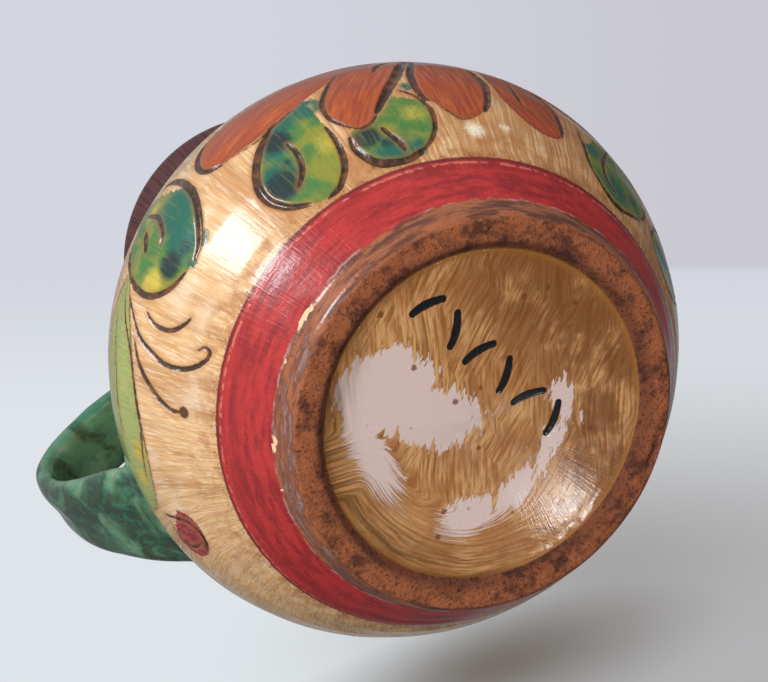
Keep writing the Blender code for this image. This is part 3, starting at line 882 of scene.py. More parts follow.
# How the glazes look
# Colours are brushed on cream slip under a clear, glossy lead glaze. The bare foot ring shows the red clay.


def paint(red, green, blue):
    """A colour from its everyday 0 to 255 numbers."""
    shares = [channel / 255 for channel in (red, green, blue)]
    return (*[s / 12.92 if s <= 0.04045 else ((s + 0.055) / 1.055) ** 2.4 for s in shares], 1)


class Finish(Wiring):
    """A node material in the making."""

    def __init__(self, material):
        material.use_nodes = True
        super().__init__(material.node_tree)
        self.shader = material.node_tree.nodes["Principled BSDF"]

    def map(self, name):
        return self.node("ShaderNodeAttribute", attribute_name=name).outputs["Fac"]

    def noise(self, vector, scale, detail=2.0, roughness=0.5, distortion=0.0):
        sources = {"Vector": vector, "Scale": scale, "Detail": detail, "Roughness": roughness,
                   "Distortion": distortion}
        return self.node("ShaderNodeTexNoise", sources).outputs["Fac"]

    def either(self, *masks):
        result = masks[0]
        for other in masks[1:]:
            result = self.math("MAXIMUM", result, other)
        return result

    def relief(self, height, strength):
        """A bump of this height in millimetres."""
        sources = {"Strength": strength, "Distance": MM, "Height": height}
        return self.node("ShaderNodeBump", sources).outputs[0]

    def finish(self, looks):
        """Joins these sources to the shader's sockets, or sets them where they are plain values."""
        for name, source in looks.items():
            if isinstance(source, bpy.types.NodeSocket):
                self.tree.links.new(source, self.shader.inputs[name])
            else:
                self.shader.inputs[name].default_value = source

    def ring_place(self):
        """(position in millimetres from the turned axis, cosine and sine of the angle round it, radius)"""
        place = self.node("ShaderNodeTexCoord").outputs["Object"]
        centred = self.vector("SUBTRACT", place, (AXIS_X, 0, 0))
        millimetres = self.scaled(centred, 1000)
        x, y, z = self.parts(millimetres)
        flat = self.joined(x, y, 0)
        radius = self.vector("LENGTH", flat)
        unit = self.node("ShaderNodeVectorMath", {0: flat}, operation="NORMALIZE").outputs["Vector"]
        return millimetres, (x, y, z), unit, radius


CREAM = paint(222, 180, 130)
HONEY = paint(180, 122, 68)
CREAM_PALE = paint(242, 226, 202)
OCHRE = paint(206, 156, 100)
OCHRE_DEEP = paint(162, 102, 52)
STAIN_BROWN = paint(92, 50, 24)
PETAL_ORANGE = paint(170, 74, 28)
PETAL_RED = paint(136, 50, 22)
PETAL_GOLD = paint(196, 112, 44)
GREEN = paint(68, 118, 52)
GREEN_YELLOW = paint(132, 134, 42)
GREEN_PALE = paint(178, 182, 104)
TEAL = paint(20, 94, 76)
INK_GREEN = paint(26, 46, 46)
YELLOW = paint(200, 176, 62)
CUT_BROWN = paint(40, 22, 14)
CUT_AMBER = paint(104, 58, 30)
CRIMSON = paint(178, 42, 40)
CRIMSON_DEEP = paint(138, 28, 32)
CRIMSON_ROSE = paint(192, 66, 58)
BORDER_RED = paint(98, 22, 24)
BORDER_ROSE = paint(214, 132, 112)
MAROON = paint(84, 36, 34)
MAROON_DEEP = paint(50, 22, 24)
CLAY = paint(158, 90, 54)
CLAY_PALE = paint(182, 108, 68)
CLAY_DARK = paint(94, 52, 36)
CLAY_BLACK = paint(50, 28, 24)
# the colour of the pale line, and of the painted sheen on the foot wall
LILAC = paint(172, 140, 130)
SLIP_BARE = paint(212, 188, 180)
SLIP_CHIPPED = paint(226, 190, 152)
DISC_OCHRE = paint(158, 100, 50)
DISC_PALE = paint(206, 156, 102)
DISC_BROWN = paint(112, 62, 22)
DISC_EDGE = paint(150, 96, 34)
BUD_RED = paint(166, 74, 66)
# dark glaze pooled by the ring, and painted shade from the ring's inner wall
DISC_POOL_AND_SHADE = paint(84, 54, 16)
INK = paint(16, 16, 18)
HANDLE_GREEN = paint(76, 128, 92)
HANDLE_DARK = paint(34, 66, 44)
HANDLE_TEAL = paint(32, 112, 92)
HANDLE_BROWN = paint(104, 88, 50)
HANDLE_SHEEN = paint(128, 164, 136)
GLAZE_IOR = 1.5

f = Finish(glaze)
place, (px, py, pz), unit, radius = f.ring_place()
run_map = f.map("run")
cosine, sine, _ = f.parts(unit)

# Brush streaks run up and down the wall, and lean over where the wrist turned
lean = f.times(f.step(cosine, -0.2, -0.95), f.step(sine, -0.55, 0.1))
lean_run = f.times(lean, run_map, 0.7)
sweep = f.total(f.times(f.noise(place, 0.028, 1.0), 7), f.times(f.noise(place, 0.12, 1.0), 0.9))
around_x = f.total(f.times(cosine, 60), f.times(sine, lean_run, -1), sweep)
around_y = f.total(f.times(sine, 60), f.times(cosine, lean_run), sweep)
brushed = f.joined(around_x, around_y, f.times(run_map, 0.055))
streak = f.noise(brushed, 1.0, 3.0, 0.6)
streak_fine = f.noise(brushed, 2.6, 2.0, 0.6)
streak_wide = f.noise(brushed, 0.30, 2.0, 0.5)
cloud = f.noise(place, 0.075, 2.0, 0.5)
speckle = f.noise(place, 2.3, 2.0, 0.6)

ground = f.layers(
    CREAM,
    (OCHRE, f.total(streak, f.swing(streak_fine, 0.35)), 0.4, 0.66),
    (OCHRE_DEEP, streak_wide, 0.50, 0.70, 0.45),
    (CREAM_PALE, streak_fine, 0.48, 0.32, 0.45),
    (CREAM_PALE, cloud, 0.54, 0.72, 0.35),
)
sunny = f.times(f.step(cosine, -0.45, 0.10), f.step(run_map, 6, -20))
ground = f.over(ground, HONEY, f.total(streak, f.swing(cloud, 0.8)), 0.26, 0.56, sunny, 0.85)
near_band = f.step(run_map, -24, -38)
ground = f.layers(
    ground,
    (OCHRE_DEEP, f.noise(place, 0.35, 3.0, 0.6), 0.38, 0.68, near_band, 0.75),
    (STAIN_BROWN, speckle, 0.60, 0.70, near_band, 0.45),
    (STAIN_BROWN, speckle, 0.71, 0.77, 0.45),
    (CREAM_PALE, f.total(f.map("bare"), f.swing(speckle, 0.8)), 0.25, 0.8),
)

# Petals, brushed from the middle of the flower outwards
along, across = f.map("along"), f.map("across")
blade_streak = f.noise(f.joined(f.times(along, 0.10), f.times(across, 1.0), 0.0), 1.1, 3.0, 0.6)
edge_noise = f.swing(f.noise(place, 1.1, 3.0, 0.6), 1.1)


def frayed(value, amount):
    """A map with an uneven edge, as a brush leaves it."""
    return f.total(value, f.times(edge_noise, amount))


petal_map, leaf_map, bud_map = f.map("petal"), f.map("leaf"), f.map("bud")
petal_colour = f.layers(
    PETAL_ORANGE,
    (PETAL_RED, blade_streak, 0.42, 0.66, 0.75),
    (PETAL_GOLD, blade_streak, 0.44, 0.28, 0.6),
    (PETAL_RED, petal_map, 1.7, 0.2, 0.5),
)
in_petal_mask = f.step(frayed(petal_map, 0.6), -0.12, 0.16)

# Leaves: yellow-green, with teal and near-black blotches run into it
blot = f.noise(place, 0.16, 2.0, 0.5, 0.3)
leaf_colour = f.layers(
    GREEN_YELLOW,
    (GREEN, blot, 0.40, 0.60),
    (GREEN_PALE, f.map("long_leaf"), -0.2, 0.6, 0.75),
    (YELLOW, frayed(f.map("yellow"), 0.35), 0.25, 0.85),
)
teal_map = f.map("teal")
leaf_colour = f.layers(
    leaf_colour,
    (TEAL, frayed(teal_map, 0.3), 0.22, 0.8),
    (INK_GREEN, frayed(f.map("dark"), 0.35), 0.32, 0.8),
    (TEAL, streak_fine, 0.52, 0.68, 0.30),
    (GREEN_YELLOW, streak, 0.46, 0.32, 0.28),
)
smear = f.step(frayed(teal_map, 0.45), 0.55, 0.75)
leaf_reach = frayed(leaf_map, 0.7)
in_leaf = f.either(f.step(leaf_reach, -0.25, 0.25), f.times(smear, f.step(leaf_map, -3.2, -0.8)))
colour = f.mix(in_leaf, ground, leaf_colour)
colour = f.mix(in_petal_mask, colour, petal_colour)
bud_colour = f.over(BUD_RED, CRIMSON_DEEP, f.noise(place, 0.5, 3.0, 0.6), 0.42, 0.6)
colour = f.over(colour, bud_colour, frayed(bud_map, 0.7), -0.1, 0.2)

# The green of the handle ran over its roots
root_map = f.total(f.map("root"), f.swing(f.noise(place, 0.22, 2.0), 2.4))
root_colour = f.layers(
    HANDLE_TEAL,
    (HANDLE_GREEN, blot, 0.42, 0.60),
    (HANDLE_DARK, root_map, 0.4, 1.6, f.step(blot, 0.45, 0.6)),
)
colour = f.over(colour, root_colour, root_map, 2.4, 1.9)

# The rim's maroon, and the honey inside
high = f.total(run_map, f.swing(f.noise(place, 0.4, 2.0), 1.6))
maroon = f.over(MAROON, MAROON_DEEP, streak, 0.42, 0.62)
MAROON_HEIGHT = 0.134
RUN_MAROON = outside_run(MAROON_HEIGHT)
colour = f.over(colour, maroon, high, RUN_MAROON - 0.3, RUN_MAROON + 0.3)
inner_streak = f.noise(f.joined(f.times(cosine, 5), f.times(sine, 5), run_map), 0.5, 3.0, 0.6)
inner = f.over(CREAM, OCHRE, inner_streak, 0.40, 0.65)
INNER_GLAZE = (7.5, 8.6)  # how far inside the lip the honey takes over
colour = f.over(colour, inner, high, RUN_LIP + INNER_GLAZE[0], RUN_LIP + INNER_GLAZE[1])

# The crimson band, brushed on the turning wheel, with a dark border and a fine pale line along its upper edge
band_edge = f.total(f.times(cosine, BAND_TILT * math.cos(math.radians(BAND_TILT_ANGLE))),
                    f.times(sine, BAND_TILT * math.sin(math.radians(BAND_TILT_ANGLE))), BAND_TOP)
under_edge = f.total(f.math("SUBTRACT", band_edge, pz), f.times(edge_noise, 0.45))
wheel_streak = f.noise(f.joined(f.times(cosine, 7), f.times(sine, 7), f.times(run_map, 0.8)), 0.85, 3.0, 0.6)
wheel_fine = f.noise(f.joined(f.times(cosine, 26), f.times(sine, 26), f.times(run_map, 1.6)), 1.0, 3.0, 0.6)
band_cloud = f.noise(place, 0.22, 3.0, 0.6)
band_colour = f.layers(
    CRIMSON,
    (CRIMSON_DEEP, wheel_streak, 0.40, 0.66),
    (CRIMSON_DEEP, band_cloud, 0.50, 0.68, 0.45),
    (CRIMSON_ROSE, wheel_fine, 0.46, 0.32, 0.35),
)
for ridge_run, _, half in BAND_RIDGES:
    off = f.math("ABSOLUTE", f.math("SUBTRACT", f.total(run_map, edge_noise), ridge_run))
    band_colour = f.over(band_colour, CRIMSON_DEEP, off, half * 1.5, 0.0, 0.5)
band_colour = f.over(band_colour, MAROON_DEEP, speckle, 0.66, 0.74, 0.6)
border = f.step(f.math("ABSOLUTE", f.math("SUBTRACT", under_edge, 0.25)), 0.42, 0.18)
pale_line = f.step(f.math("ABSOLUTE", f.math("SUBTRACT", under_edge, 0.95)), 0.26, 0.10)
pale_line = f.times(pale_line, f.step(f.noise(place, 0.7, 2.0), 0.40, 0.56))
band_colour = f.mix(f.times(pale_line, 0.55), band_colour, BORDER_ROSE)
band_mask = f.step(under_edge, -0.1, 0.2)
colour = f.mix(band_mask, colour, band_colour)
colour = f.mix(f.times(border, 0.75), colour, BORDER_RED)
dots = f.times(f.step(f.math("ABSOLUTE", f.total(under_edge, 0.3)), 0.8, 0.3), f.step(speckle, 0.56, 0.64))
colour = f.mix(f.times(dots, 0.6), colour, STAIN_BROWN)

# The cut lines, where the glaze lies thick and brown
cut_map = f.map("cut")
cut_soft = frayed(cut_map, 0.32)
cut_colour = f.over(CUT_BROWN, CUT_AMBER, f.noise(place, 0.5, 2.0), 0.42, 0.66)
colour = f.layers(
    colour,
    (OCHRE_DEEP, cut_map, 1.2, 0.0, 0.35),
    (cut_colour, cut_soft, 0.10, -0.10, 0.94),
    (STAIN_BROWN, frayed(f.map("stain"), 0.3), 0.35, 0.9),
)

# The foot wall: brown clay under a thin glaze, which ends in a pale line, with white chips along the band,
# and a painted lilac sheen on the side towards the window
wall_noise = f.swing(f.noise(place, 0.55, 2.0), 1.2)
below_band = f.total(run_map, wall_noise)
foot_wall = f.over(CLAY_DARK, CLAY, wheel_streak, 0.38, 0.62)
# painted sheen: lilac streaks on the side of the foot wall that faces the window
window_sheen_side = f.times(f.step(cosine, -0.1, -0.6), f.step(sine, 0.5, 0.0))
foot_wall = f.layers(
    foot_wall,
    (LILAC, wheel_streak, 0.48, 0.36, window_sheen_side, 0.5),
    (MAROON, wheel_fine, 0.54, 0.70, 0.6),
)
colour = f.over(colour, foot_wall, below_band, RUN_FOOT_WALL + 0.9, RUN_FOOT_WALL + 0.4)
thin_line = f.step(f.math("ABSOLUTE", f.math("SUBTRACT", below_band, RUN_FOOT_WALL + 0.75)), 0.30, 0.10)
colour = f.over(colour, LILAC, band_cloud, 0.44, 0.58, thin_line, 0.7)
chip_map = frayed(f.map("chip"), 0.9)
chipped = f.step(chip_map, 0.15, 0.35)
colour = f.mix(chipped, colour, SLIP_CHIPPED)

# The bare ring, with painted shade at its inner edge
ring_wheel = f.noise(f.joined(f.times(cosine, 22), f.times(sine, 22), f.times(radius, 0.9)), 0.7, 3.0, 0.65)
clay_cloud = f.noise(place, 0.20, 4.0, 0.65)
clay_grain = f.noise(place, 1.5, 4.0, 0.7)
clay = f.layers(
    CLAY,
    (CLAY_DARK, clay_cloud, 0.46, 0.64),
    (CLAY_DARK, ring_wheel, 0.52, 0.68, 0.5),
    (CLAY_PALE, ring_wheel, 0.42, 0.30, 0.5),
    (CLAY_BLACK, clay_grain, 0.53, 0.66, 0.85),
    (CLAY_PALE, clay_grain, 0.42, 0.28, 0.5),
)
ring_run = f.total(run_map, f.swing(clay_grain, 1.1), wall_noise)
# painted shade: the ring darkens to deep maroon at its inner edge, where it drops into the recess
inner_edge_shade = f.step(run_map, RUN_RING + 1.6, RUN_RING - 0.2)
clay = f.mix(f.times(inner_edge_shade, 0.45), clay, MAROON_DEEP)
ring_mask = f.step(ring_run, RUN_FOOT_EDGE + 1.5, RUN_FOOT_EDGE + 0.9)
colour = f.mix(ring_mask, colour, clay)
is_bare_ring = f.times(ring_mask, f.step(run_map, RUN_DISC - 0.4, RUN_DISC + 0.3))

# The disc inside the ring: honey glaze brushed across it, not everywhere, and following the ring on one side.
# Along the ring's inner wall on one side it is darker, from pooled glaze and painted shade.
STROKE_TURNS = (math.radians(-62), math.radians(-30))
curl = f.times(f.step(radius, 18, 27), f.step(cosine, 0.35, -0.35), f.step(sine, -0.55, -0.1))
arc_length = f.times(f.math("ARCTAN2", py, f.times(px, -1)), 24)
wander = f.times(f.noise(f.joined(px, py, 0.0), 0.07, 1.0), 2.5)
strokes = []
for number, stroke_turn in enumerate(STROKE_TURNS):
    stroke_x = f.total(f.times(px, math.cos(stroke_turn)), f.times(py, math.sin(stroke_turn)))
    stroke_y = f.total(f.times(px, -math.sin(stroke_turn)), f.times(py, math.cos(stroke_turn)))
    stroke_along = f.between(curl, stroke_x, arc_length)
    stroke_across = f.between(curl, stroke_y, radius)
    strokes.append(f.joined(f.times(stroke_along, 0.09), f.total(stroke_across, wander), 20.0 * number))
which = f.step(f.noise(f.joined(px, py, 9.0), 0.09, 1.0), 0.46, 0.54)
disc_streaks = [f.noise(stroke, 1.5, 3.0, 0.65) for stroke in strokes]
disc_streak = f.between(which, disc_streaks[0], disc_streaks[1])
disc_wide = f.noise(strokes[0], 0.35, 2.0, 0.55)
disc_grain = f.noise(place, 1.2, 3.0, 0.6)
disc_cloud = f.noise(place, 0.11, 3.0, 0.6)
disc = f.layers(
    DISC_PALE,
    (DISC_OCHRE, disc_streak, 0.40, 0.60),
    (DISC_OCHRE, disc_cloud, 0.44, 0.64, 0.6),
    (DISC_BROWN, disc_wide, 0.52, 0.70, 0.55),
)
far_side = f.times(f.step(cosine, 0.0, 0.7), f.step(radius, 6, 22), f.step(disc_cloud, 0.34, 0.54))
disc = f.mix(f.times(far_side, 0.7), disc, DISC_BROWN)
disc = f.over(disc, DISC_BROWN, disc_streak, 0.58, 0.74, 0.6)
BARE_PATCHES = (
    # middle x, y, half lengths, turn in degrees
    (-13.1, -16.1, 9.6, 8.2, 24),
    (-8.4, -6.4, 9.8, 5.8, 40),
    (-21.8, -8.0, 11.5, 3.4, 95),
    (-12.9, 14.2, 6.6, 3.8, 19),
    (-2.6, 16.0, 6.2, 3.0, -13),
    (6.9, 12.8, 6.4, 2.6, -33),
    (14.2, 6.1, 5.2, 2.4, -81),
)
patch = None
for x, y, long, wide, angle in BARE_PATCHES:
    mapping = f.node("ShaderNodeMapping", {"Vector": f.joined(px, py, 0.0), "Location": (x, y, 0),
                                           "Rotation": (0, 0, math.radians(angle)), "Scale": (long, wide, 1)},
                     vector_type="TEXTURE")
    field = f.math("SUBTRACT", 1, f.vector("LENGTH", mapping.outputs[0]))
    field = f.times(field, wide)
    patch = field if patch is None else f.math("MAXIMUM", patch, field)
ragged = f.swing(f.noise(strokes[0], 0.75, 3.0, 0.6), 7.5)
ragged_fine = f.swing(disc_streaks[1], 5.0)
patch_map = f.total(patch, ragged, ragged_fine, -0.2)
missed = f.step(patch_map, -0.05, 0.15)
DISC_EDGE_RADII = (30.0, 31.3)
disc_edge = f.step(radius, *DISC_EDGE_RADII)
disc = f.over(disc, SLIP_BARE, disc_edge, 0.6, 0.1, missed)
cells = f.node("ShaderNodeTexVoronoi", {"Vector": place, "Scale": 0.16, "Randomness": 1.0})
spots = cells.outputs["Distance"]
disc = f.over(disc, DISC_BROWN, f.total(spots, f.times(disc_grain, 0.16)), 0.2, 0.15, 0.85)
disc = f.mix(f.times(disc_edge, 0.8), disc, DISC_EDGE)
# dark glaze pooled along the ring's inner wall on one side, darkened more as painted shade from that wall
pooled_and_shaded_side = f.times(f.step(radius, 24, 30.5), f.step(cosine, -0.15, -0.75))
disc = f.over(disc, DISC_POOL_AND_SHADE, disc_wide, 0.35, 0.6, pooled_and_shaded_side, 0.75)
mark_map = frayed(f.map("mark"), 0.12)
disc = f.over(disc, INK, mark_map, 0.08, -0.08)
on_disc_mask = f.step(run_map, RUN_DISC + 0.25, RUN_DISC - 0.25)
colour = f.mix(on_disc_mask, colour, disc)

matt = f.either(is_bare_ring, chipped)
gloss_noise = f.swing(f.noise(brushed, 1.6, 3.0, 0.6), 0.16)
rough_value = f.math("ADD", 0.26, gloss_noise)
rough_value = f.between(f.times(on_disc_mask, missed), rough_value, 0.32)
rough_value = f.between(matt, rough_value, 0.9)
coat_value = f.times(f.math("SUBTRACT", 1, matt), 0.7)

# Fine relief that is finer than the mesh: brush lines under the glaze, and grain in the bare clay
relief = f.total(
    f.times(streak, 0.09),
    f.times(streak_fine, 0.03),
    f.times(cloud, 0.10),
    f.times(pale_line, 0.06),
    f.times(f.step(cut_soft, 0.2, -0.2), -0.10),
    f.times(clay_grain, is_bare_ring, 0.5),
    f.times(f.noise(place, 0.9, 2.0), 0.03),
    f.times(disc_streak, on_disc_mask, 0.05),
    f.times(missed, on_disc_mask, -0.05),
    f.times(wheel_fine, band_mask, 0.04),
)
f.finish({
    "Base Color": colour,
    "Roughness": rough_value,
    "Coat Weight": coat_value,
    "Coat Roughness": 0.08,
    "Normal": f.relief(relief, 0.9),
    "Coat Normal": f.relief(relief, f.between(on_disc_mask, 0.35, 0.10)),
    "IOR": GLAZE_IOR,
})

body_mesh.shade_smooth()
body = bpy.data.objects.new("jug_body", body_mesh)
bpy.context.scene.collection.objects.link(body)
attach(body, "root")
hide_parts("jug")

# The strap handle
# Pulled from a lump of the same clay, pressed on at belly and neck, and glazed in mottled green. Its roots
# swell where the joint was smoothed with a wet finger.
HANDLE_LOW_PULL = 0.103
HANDLE_TOP_PULL = 0.080
HANDLE_LOW_LIFT = 0.053
HANDLE_TOP_LIFT = 0.0075
HANDLE_THICKNESS = 0.006
HANDLE_WIDTH = 0.0175
HANDLE_FLARE_LENGTH = 0.0225
HANDLE_MITRE_LENGTH = 0.008
HANDLE_SQUARENESS = 2.6
HANDLE_BURY = 0.25
HANDLE_RINGS = 240
HANDLE_SIDES = 80
ROOT_FILLET = 0.0026


def buried_radius(z, width):
    return math.sqrt(float(wall_radius(z)) ** 2 - (width / 2) ** 2) - HANDLE_BURY * WALL


def handle_tree():
    """The strap: a rounded section swept along a curve, wider towards the two ends."""
    tree = bpy.data.node_groups.new("Pulled strap", "GeometryNodeTree")
    sockets = tree.interface
    sockets.new_socket("Path", in_out="INPUT", socket_type="NodeSocketGeometry")
    ids = {}
    kinds = {"Rings": "Int", "Sides": "Int", "Glaze": "Material"}
    for name in ("Thickness", "Width", "Low Width", "Top Width", "Flare", "Squareness", *kinds):
        kind = f"NodeSocket{kinds.get(name, 'Float')}"
        ids[name] = sockets.new_socket(name, in_out="INPUT", socket_type=kind).identifier
    sockets.new_socket("Strap", in_out="OUTPUT", socket_type="NodeSocketGeometry")
    w = Wiring(tree)
    given = w.node("NodeGroupInput").outputs
    path = w.node("GeometryNodeResampleCurve", {"Curve": given["Path"], "Count": given["Rings"]}).outputs[0]
    share = w.node("GeometryNodeSplineParameter").outputs["Factor"]
    path = w.node("GeometryNodeStoreNamedAttribute", {"Geometry": path, "Name": "share"}, data_type="FLOAT")
    w.tree.links.new(share, path.inputs["Value"])
    round_profile = {"Resolution": given["Sides"], "Radius": 1.0}
    circle = w.node("GeometryNodeCurvePrimitiveCircle", round_profile).outputs[0]
    x, y, _ = w.parts(w.node("GeometryNodeInputPosition").outputs[0])
    power = w.math("DIVIDE", 2, given["Squareness"])
    half = w.math("DIVIDE", given["Thickness"], 2)
    squared = [
        w.times(w.math("SIGN", v), w.math("POWER", w.math("ABSOLUTE", v), power), half)
        for v in (x, y)
    ]
    squarish = {"Geometry": circle, "Position": w.joined(*squared, 0.0)}
    profile = w.node("GeometryNodeSetPosition", squarish).outputs[0]
    swept = w.node("GeometryNodeCurveToMesh",
                   {"Curve": path.outputs[0], "Profile Curve": profile, "Fill Caps": True}).outputs[0]
    kept_share = w.node("GeometryNodeInputNamedAttribute", ("share",), data_type="FLOAT").outputs[0]

    def flare(from_end, width):
        reach = w.math("DIVIDE", from_end, given["Flare"])
        fall = w.math("EXPONENT", w.times(reach, reach, -0.5))
        return w.times(w.math("SUBTRACT", width, given["Width"]), fall)

    width = w.total(given["Width"], flare(kept_share, given["Low Width"]),
                    flare(w.math("SUBTRACT", 1, kept_share), given["Top Width"]))
    sx, sy, sz = w.parts(w.node("GeometryNodeInputPosition").outputs[0])
    wide = w.joined(sx, w.times(sy, w.math("DIVIDE", width, given["Thickness"])), sz)
    strap = w.node("GeometryNodeSetPosition", {"Geometry": swept, "Position": wide}).outputs[0]
    w.fire(strap, given["Glaze"])
    return tree, ids


low_end = (AXIS_X - buried_radius(HANDLE_LOW_HEIGHT, HANDLE_LOW_WIDTH), HANDLE_LOW_HEIGHT)
top_end = (AXIS_X - buried_radius(HANDLE_TOP_HEIGHT, HANDLE_TOP_WIDTH), HANDLE_TOP_HEIGHT)
low_pull = (AXIS_X - HANDLE_LOW_PULL, HANDLE_LOW_HEIGHT + HANDLE_LOW_LIFT)
top_pull = (AXIS_X - HANDLE_TOP_PULL, HANDLE_TOP_HEIGHT + HANDLE_TOP_LIFT)
shares = np.linspace(0, 1, 600)[:, None]
left = 1 - shares
centre_line = (left**3 * low_end + 3 * left**2 * shares * low_pull + 3 * left * shares**2 * top_pull
               + shares**3 * top_end)
strap_curve = bpy.data.curves.new("strap", "CURVE")
strap_curve.dimensions = "3D"
strap_curve.twist_mode = "MINIMUM"
spline = strap_curve.splines.new("POLY")
spline.points.add(len(centre_line) - 1)
for point, (x, z) in zip(spline.points, centre_line):
    point.co = (x, 0, z, 1)
strap = bpy.data.objects.new("strap", strap_curve)
bpy.context.scene.collection.objects.link(strap)
handle_glaze = bpy.data.materials.new("green_glaze")
strap_length = float(lengths_along(centre_line)[-1])
pull, pull_inputs = handle_tree()
handle_mesh = made_by(pull, strap, {
    pull_inputs["Thickness"]: HANDLE_THICKNESS,
    pull_inputs["Width"]: HANDLE_WIDTH,
    pull_inputs["Low Width"]: HANDLE_LOW_WIDTH,
    pull_inputs["Top Width"]: HANDLE_TOP_WIDTH,
    pull_inputs["Flare"]: HANDLE_FLARE_LENGTH / strap_length,
    pull_inputs["Squareness"]: HANDLE_SQUARENESS,
    pull_inputs["Rings"]: HANDLE_RINGS,
    pull_inputs["Sides"]: HANDLE_SIDES,
    pull_inputs["Glaze"]: handle_glaze,
}, "jug_handle")

# The fingers' work on the strap: fillets at its roots, a soft channel down its back, and an uneven thickness
CHANNEL_DEPTH = 0.0006
CHANNEL_WIDTH = 0.0042
CHANNEL_WANDER = 0.0008
UNEVEN = ((0.00035, 0.014, 11), (0.0001, 0.004, 12))  # height, length, seed
strap_at = points_of(handle_mesh)
strap_share = values_of(handle_mesh, "share")
along_line = lengths_along(centre_line) / strap_length
tangent = np.stack([np.gradient(centre_line[:, 0]), np.gradient(centre_line[:, 1])], axis=1)
tangent /= np.linalg.norm(tangent, axis=1)[:, None]


def along_strap(values):
    return np.interp(strap_share, along_line, values)


def in_plane(x, z):
    return np.stack([x, np.zeros(len(x)), z], axis=1)


centre = in_plane(along_strap(centre_line[:, 0]), along_strap(centre_line[:, 1]))
forward = in_plane(along_strap(tangent[:, 0]), along_strap(tangent[:, 1]))
back = in_plane(-along_strap(tangent[:, 1]), along_strap(tangent[:, 0]))
offset = strap_at - centre
lift = np.sum(offset * back, axis=1)
from_end = np.minimum(strap_share, 1 - strap_share) * strap_length
mitre = np.exp(-((from_end / HANDLE_MITRE_LENGTH) ** 2))
mitre[mitre < 1e-3] = 0
lean = np.where(mitre > 0, -back[:, 0] / forward[:, 0] * mitre, 0)
strap_at += forward * (lift * lean)[:, None]
offset_length = np.maximum(np.linalg.norm(offset, axis=1), 1e-9)
wall_there = wall_radius(np.clip(strap_at[:, 2], 0.01, HEIGHT))
outside = np.hypot(strap_at[:, 0] - AXIS_X, strap_at[:, 1]) - wall_there
close = np.clip(1 - np.clip(outside, 0, None) / ROOT_FILLET, 0, 1)
fillet = ROOT_FILLET * (1 - np.sqrt(np.clip(1 - close**2, 0, 1)))
channel = CHANNEL_DEPTH * bump(offset[:, 1] + CHANNEL_WANDER * np.sin(strap_share * 9), CHANNEL_WIDTH)
channel *= np.clip(np.sin(np.pi * np.clip(strap_share, 0.06, 0.94)), 0, 1) ** 0.5
uneven = sum(height * rough(strap_at, length, seed) for height, length, seed in UNEVEN)
strap_at += offset / offset_length[:, None] * (fillet + uneven)[:, None]
strap_at -= back * (np.sign(lift) * channel * (np.abs(lift) > HANDLE_THICKNESS / 4))[:, None]
handle_mesh.vertices.foreach_set("co", strap_at.ravel())
handle_mesh.update()
tidy = bmesh.new()
tidy.from_mesh(handle_mesh)
bmesh.ops.recalc_face_normals(tidy, faces=tidy.faces)
tidy.to_mesh(handle_mesh)
tidy.free()
kept(handle_mesh, "side", offset[:, 1] / MM)
kept(handle_mesh, "lift", lift / MM)

h = Finish(handle_glaze)
strap_place = h.scaled(h.node("ShaderNodeTexCoord").outputs["Object"], 1000)
strap_map, side_map = h.map("share"), h.map("side")
pulled_place = h.joined(h.times(strap_map, strap_length / MM * 0.16), side_map, h.parts(strap_place)[2])
pulled_streak = h.noise(pulled_place, 0.45, 3.0, 0.6, 0.4)
mottle = h.noise(strap_place, 0.10, 3.0, 0.55, 0.5)
mottle_fine = h.noise(strap_place, 0.5, 3.0, 0.6)
under = h.step(h.map("lift"), -1.0, 1.2)
green = h.layers(
    HANDLE_GREEN,
    (HANDLE_DARK, h.total(mottle, h.times(under, 0.1)), 0.48, 0.66),
    (HANDLE_TEAL, pulled_streak, 0.52, 0.66, 0.7),
    # painted sheen: pale green mottles scattered over the strap
    (HANDLE_SHEEN, mottle, 0.46, 0.30, 0.6),
    (HANDLE_BROWN, mottle_fine, 0.60, 0.74, 0.4),
    (HANDLE_BROWN, pulled_streak, 0.42, 0.30, 0.5),
)
strap_relief = h.total(h.times(pulled_streak, 0.12), h.times(mottle_fine, 0.05))
strap_bump = h.relief(strap_relief, 0.8)
h.finish({
    "Base Color": green,
    "Roughness": h.math("ADD", 0.16, h.times(mottle_fine, 0.16)),
    "Coat Weight": 1.0,
    "Coat Roughness": 0.06,
    "Normal": strap_bump,
    "Coat Normal": strap_bump,
    "IOR": GLAZE_IOR,
})

handle_mesh.shade_smooth()
handle = bpy.data.objects.new("jug_handle", handle_mesh)
bpy.context.scene.collection.objects.link(handle)
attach(handle, "root")
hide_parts("jug")

# The floor
# A plain pale floor under the foot. It shows from above alone, since the camera looks up through it.
FLOOR_SIZE = 6.0
floor_mesh = bpy.data.meshes.new("floor")
half_floor = FLOOR_SIZE / 2
floor_mesh.from_pydata(
    [(-half_floor, -half_floor, 0), (half_floor, -half_floor, 0), (half_floor, half_floor, 0),
     (-half_floor, half_floor, 0)], [], [(0, 1, 2, 3)])
floor = bpy.data.objects.new("floor", floor_mesh)
bpy.context.scene.collection.objects.link(floor)
floor_finish = bpy.data.materials.new("pale_floor")
g = Finish(floor_finish)
g.finish({"Base Color": paint(226, 228, 232), "Roughness": 0.8})
output = g.tree.nodes["Material Output"]
clear = g.node("ShaderNodeBsdfTransparent")
from_below = g.node("ShaderNodeNewGeometry").outputs["Backfacing"]
one_way = g.node("ShaderNodeMixShader", (from_below, g.shader.outputs[0], clear.outputs[0]))
g.tree.links.new(one_way.outputs[0], output.inputs["Surface"])
floor_mesh.materials.append(floor_finish)
floor.visible_shadow = False
floor.visible_diffuse = False
floor.visible_glossy = False
floor.visible_transmission = False
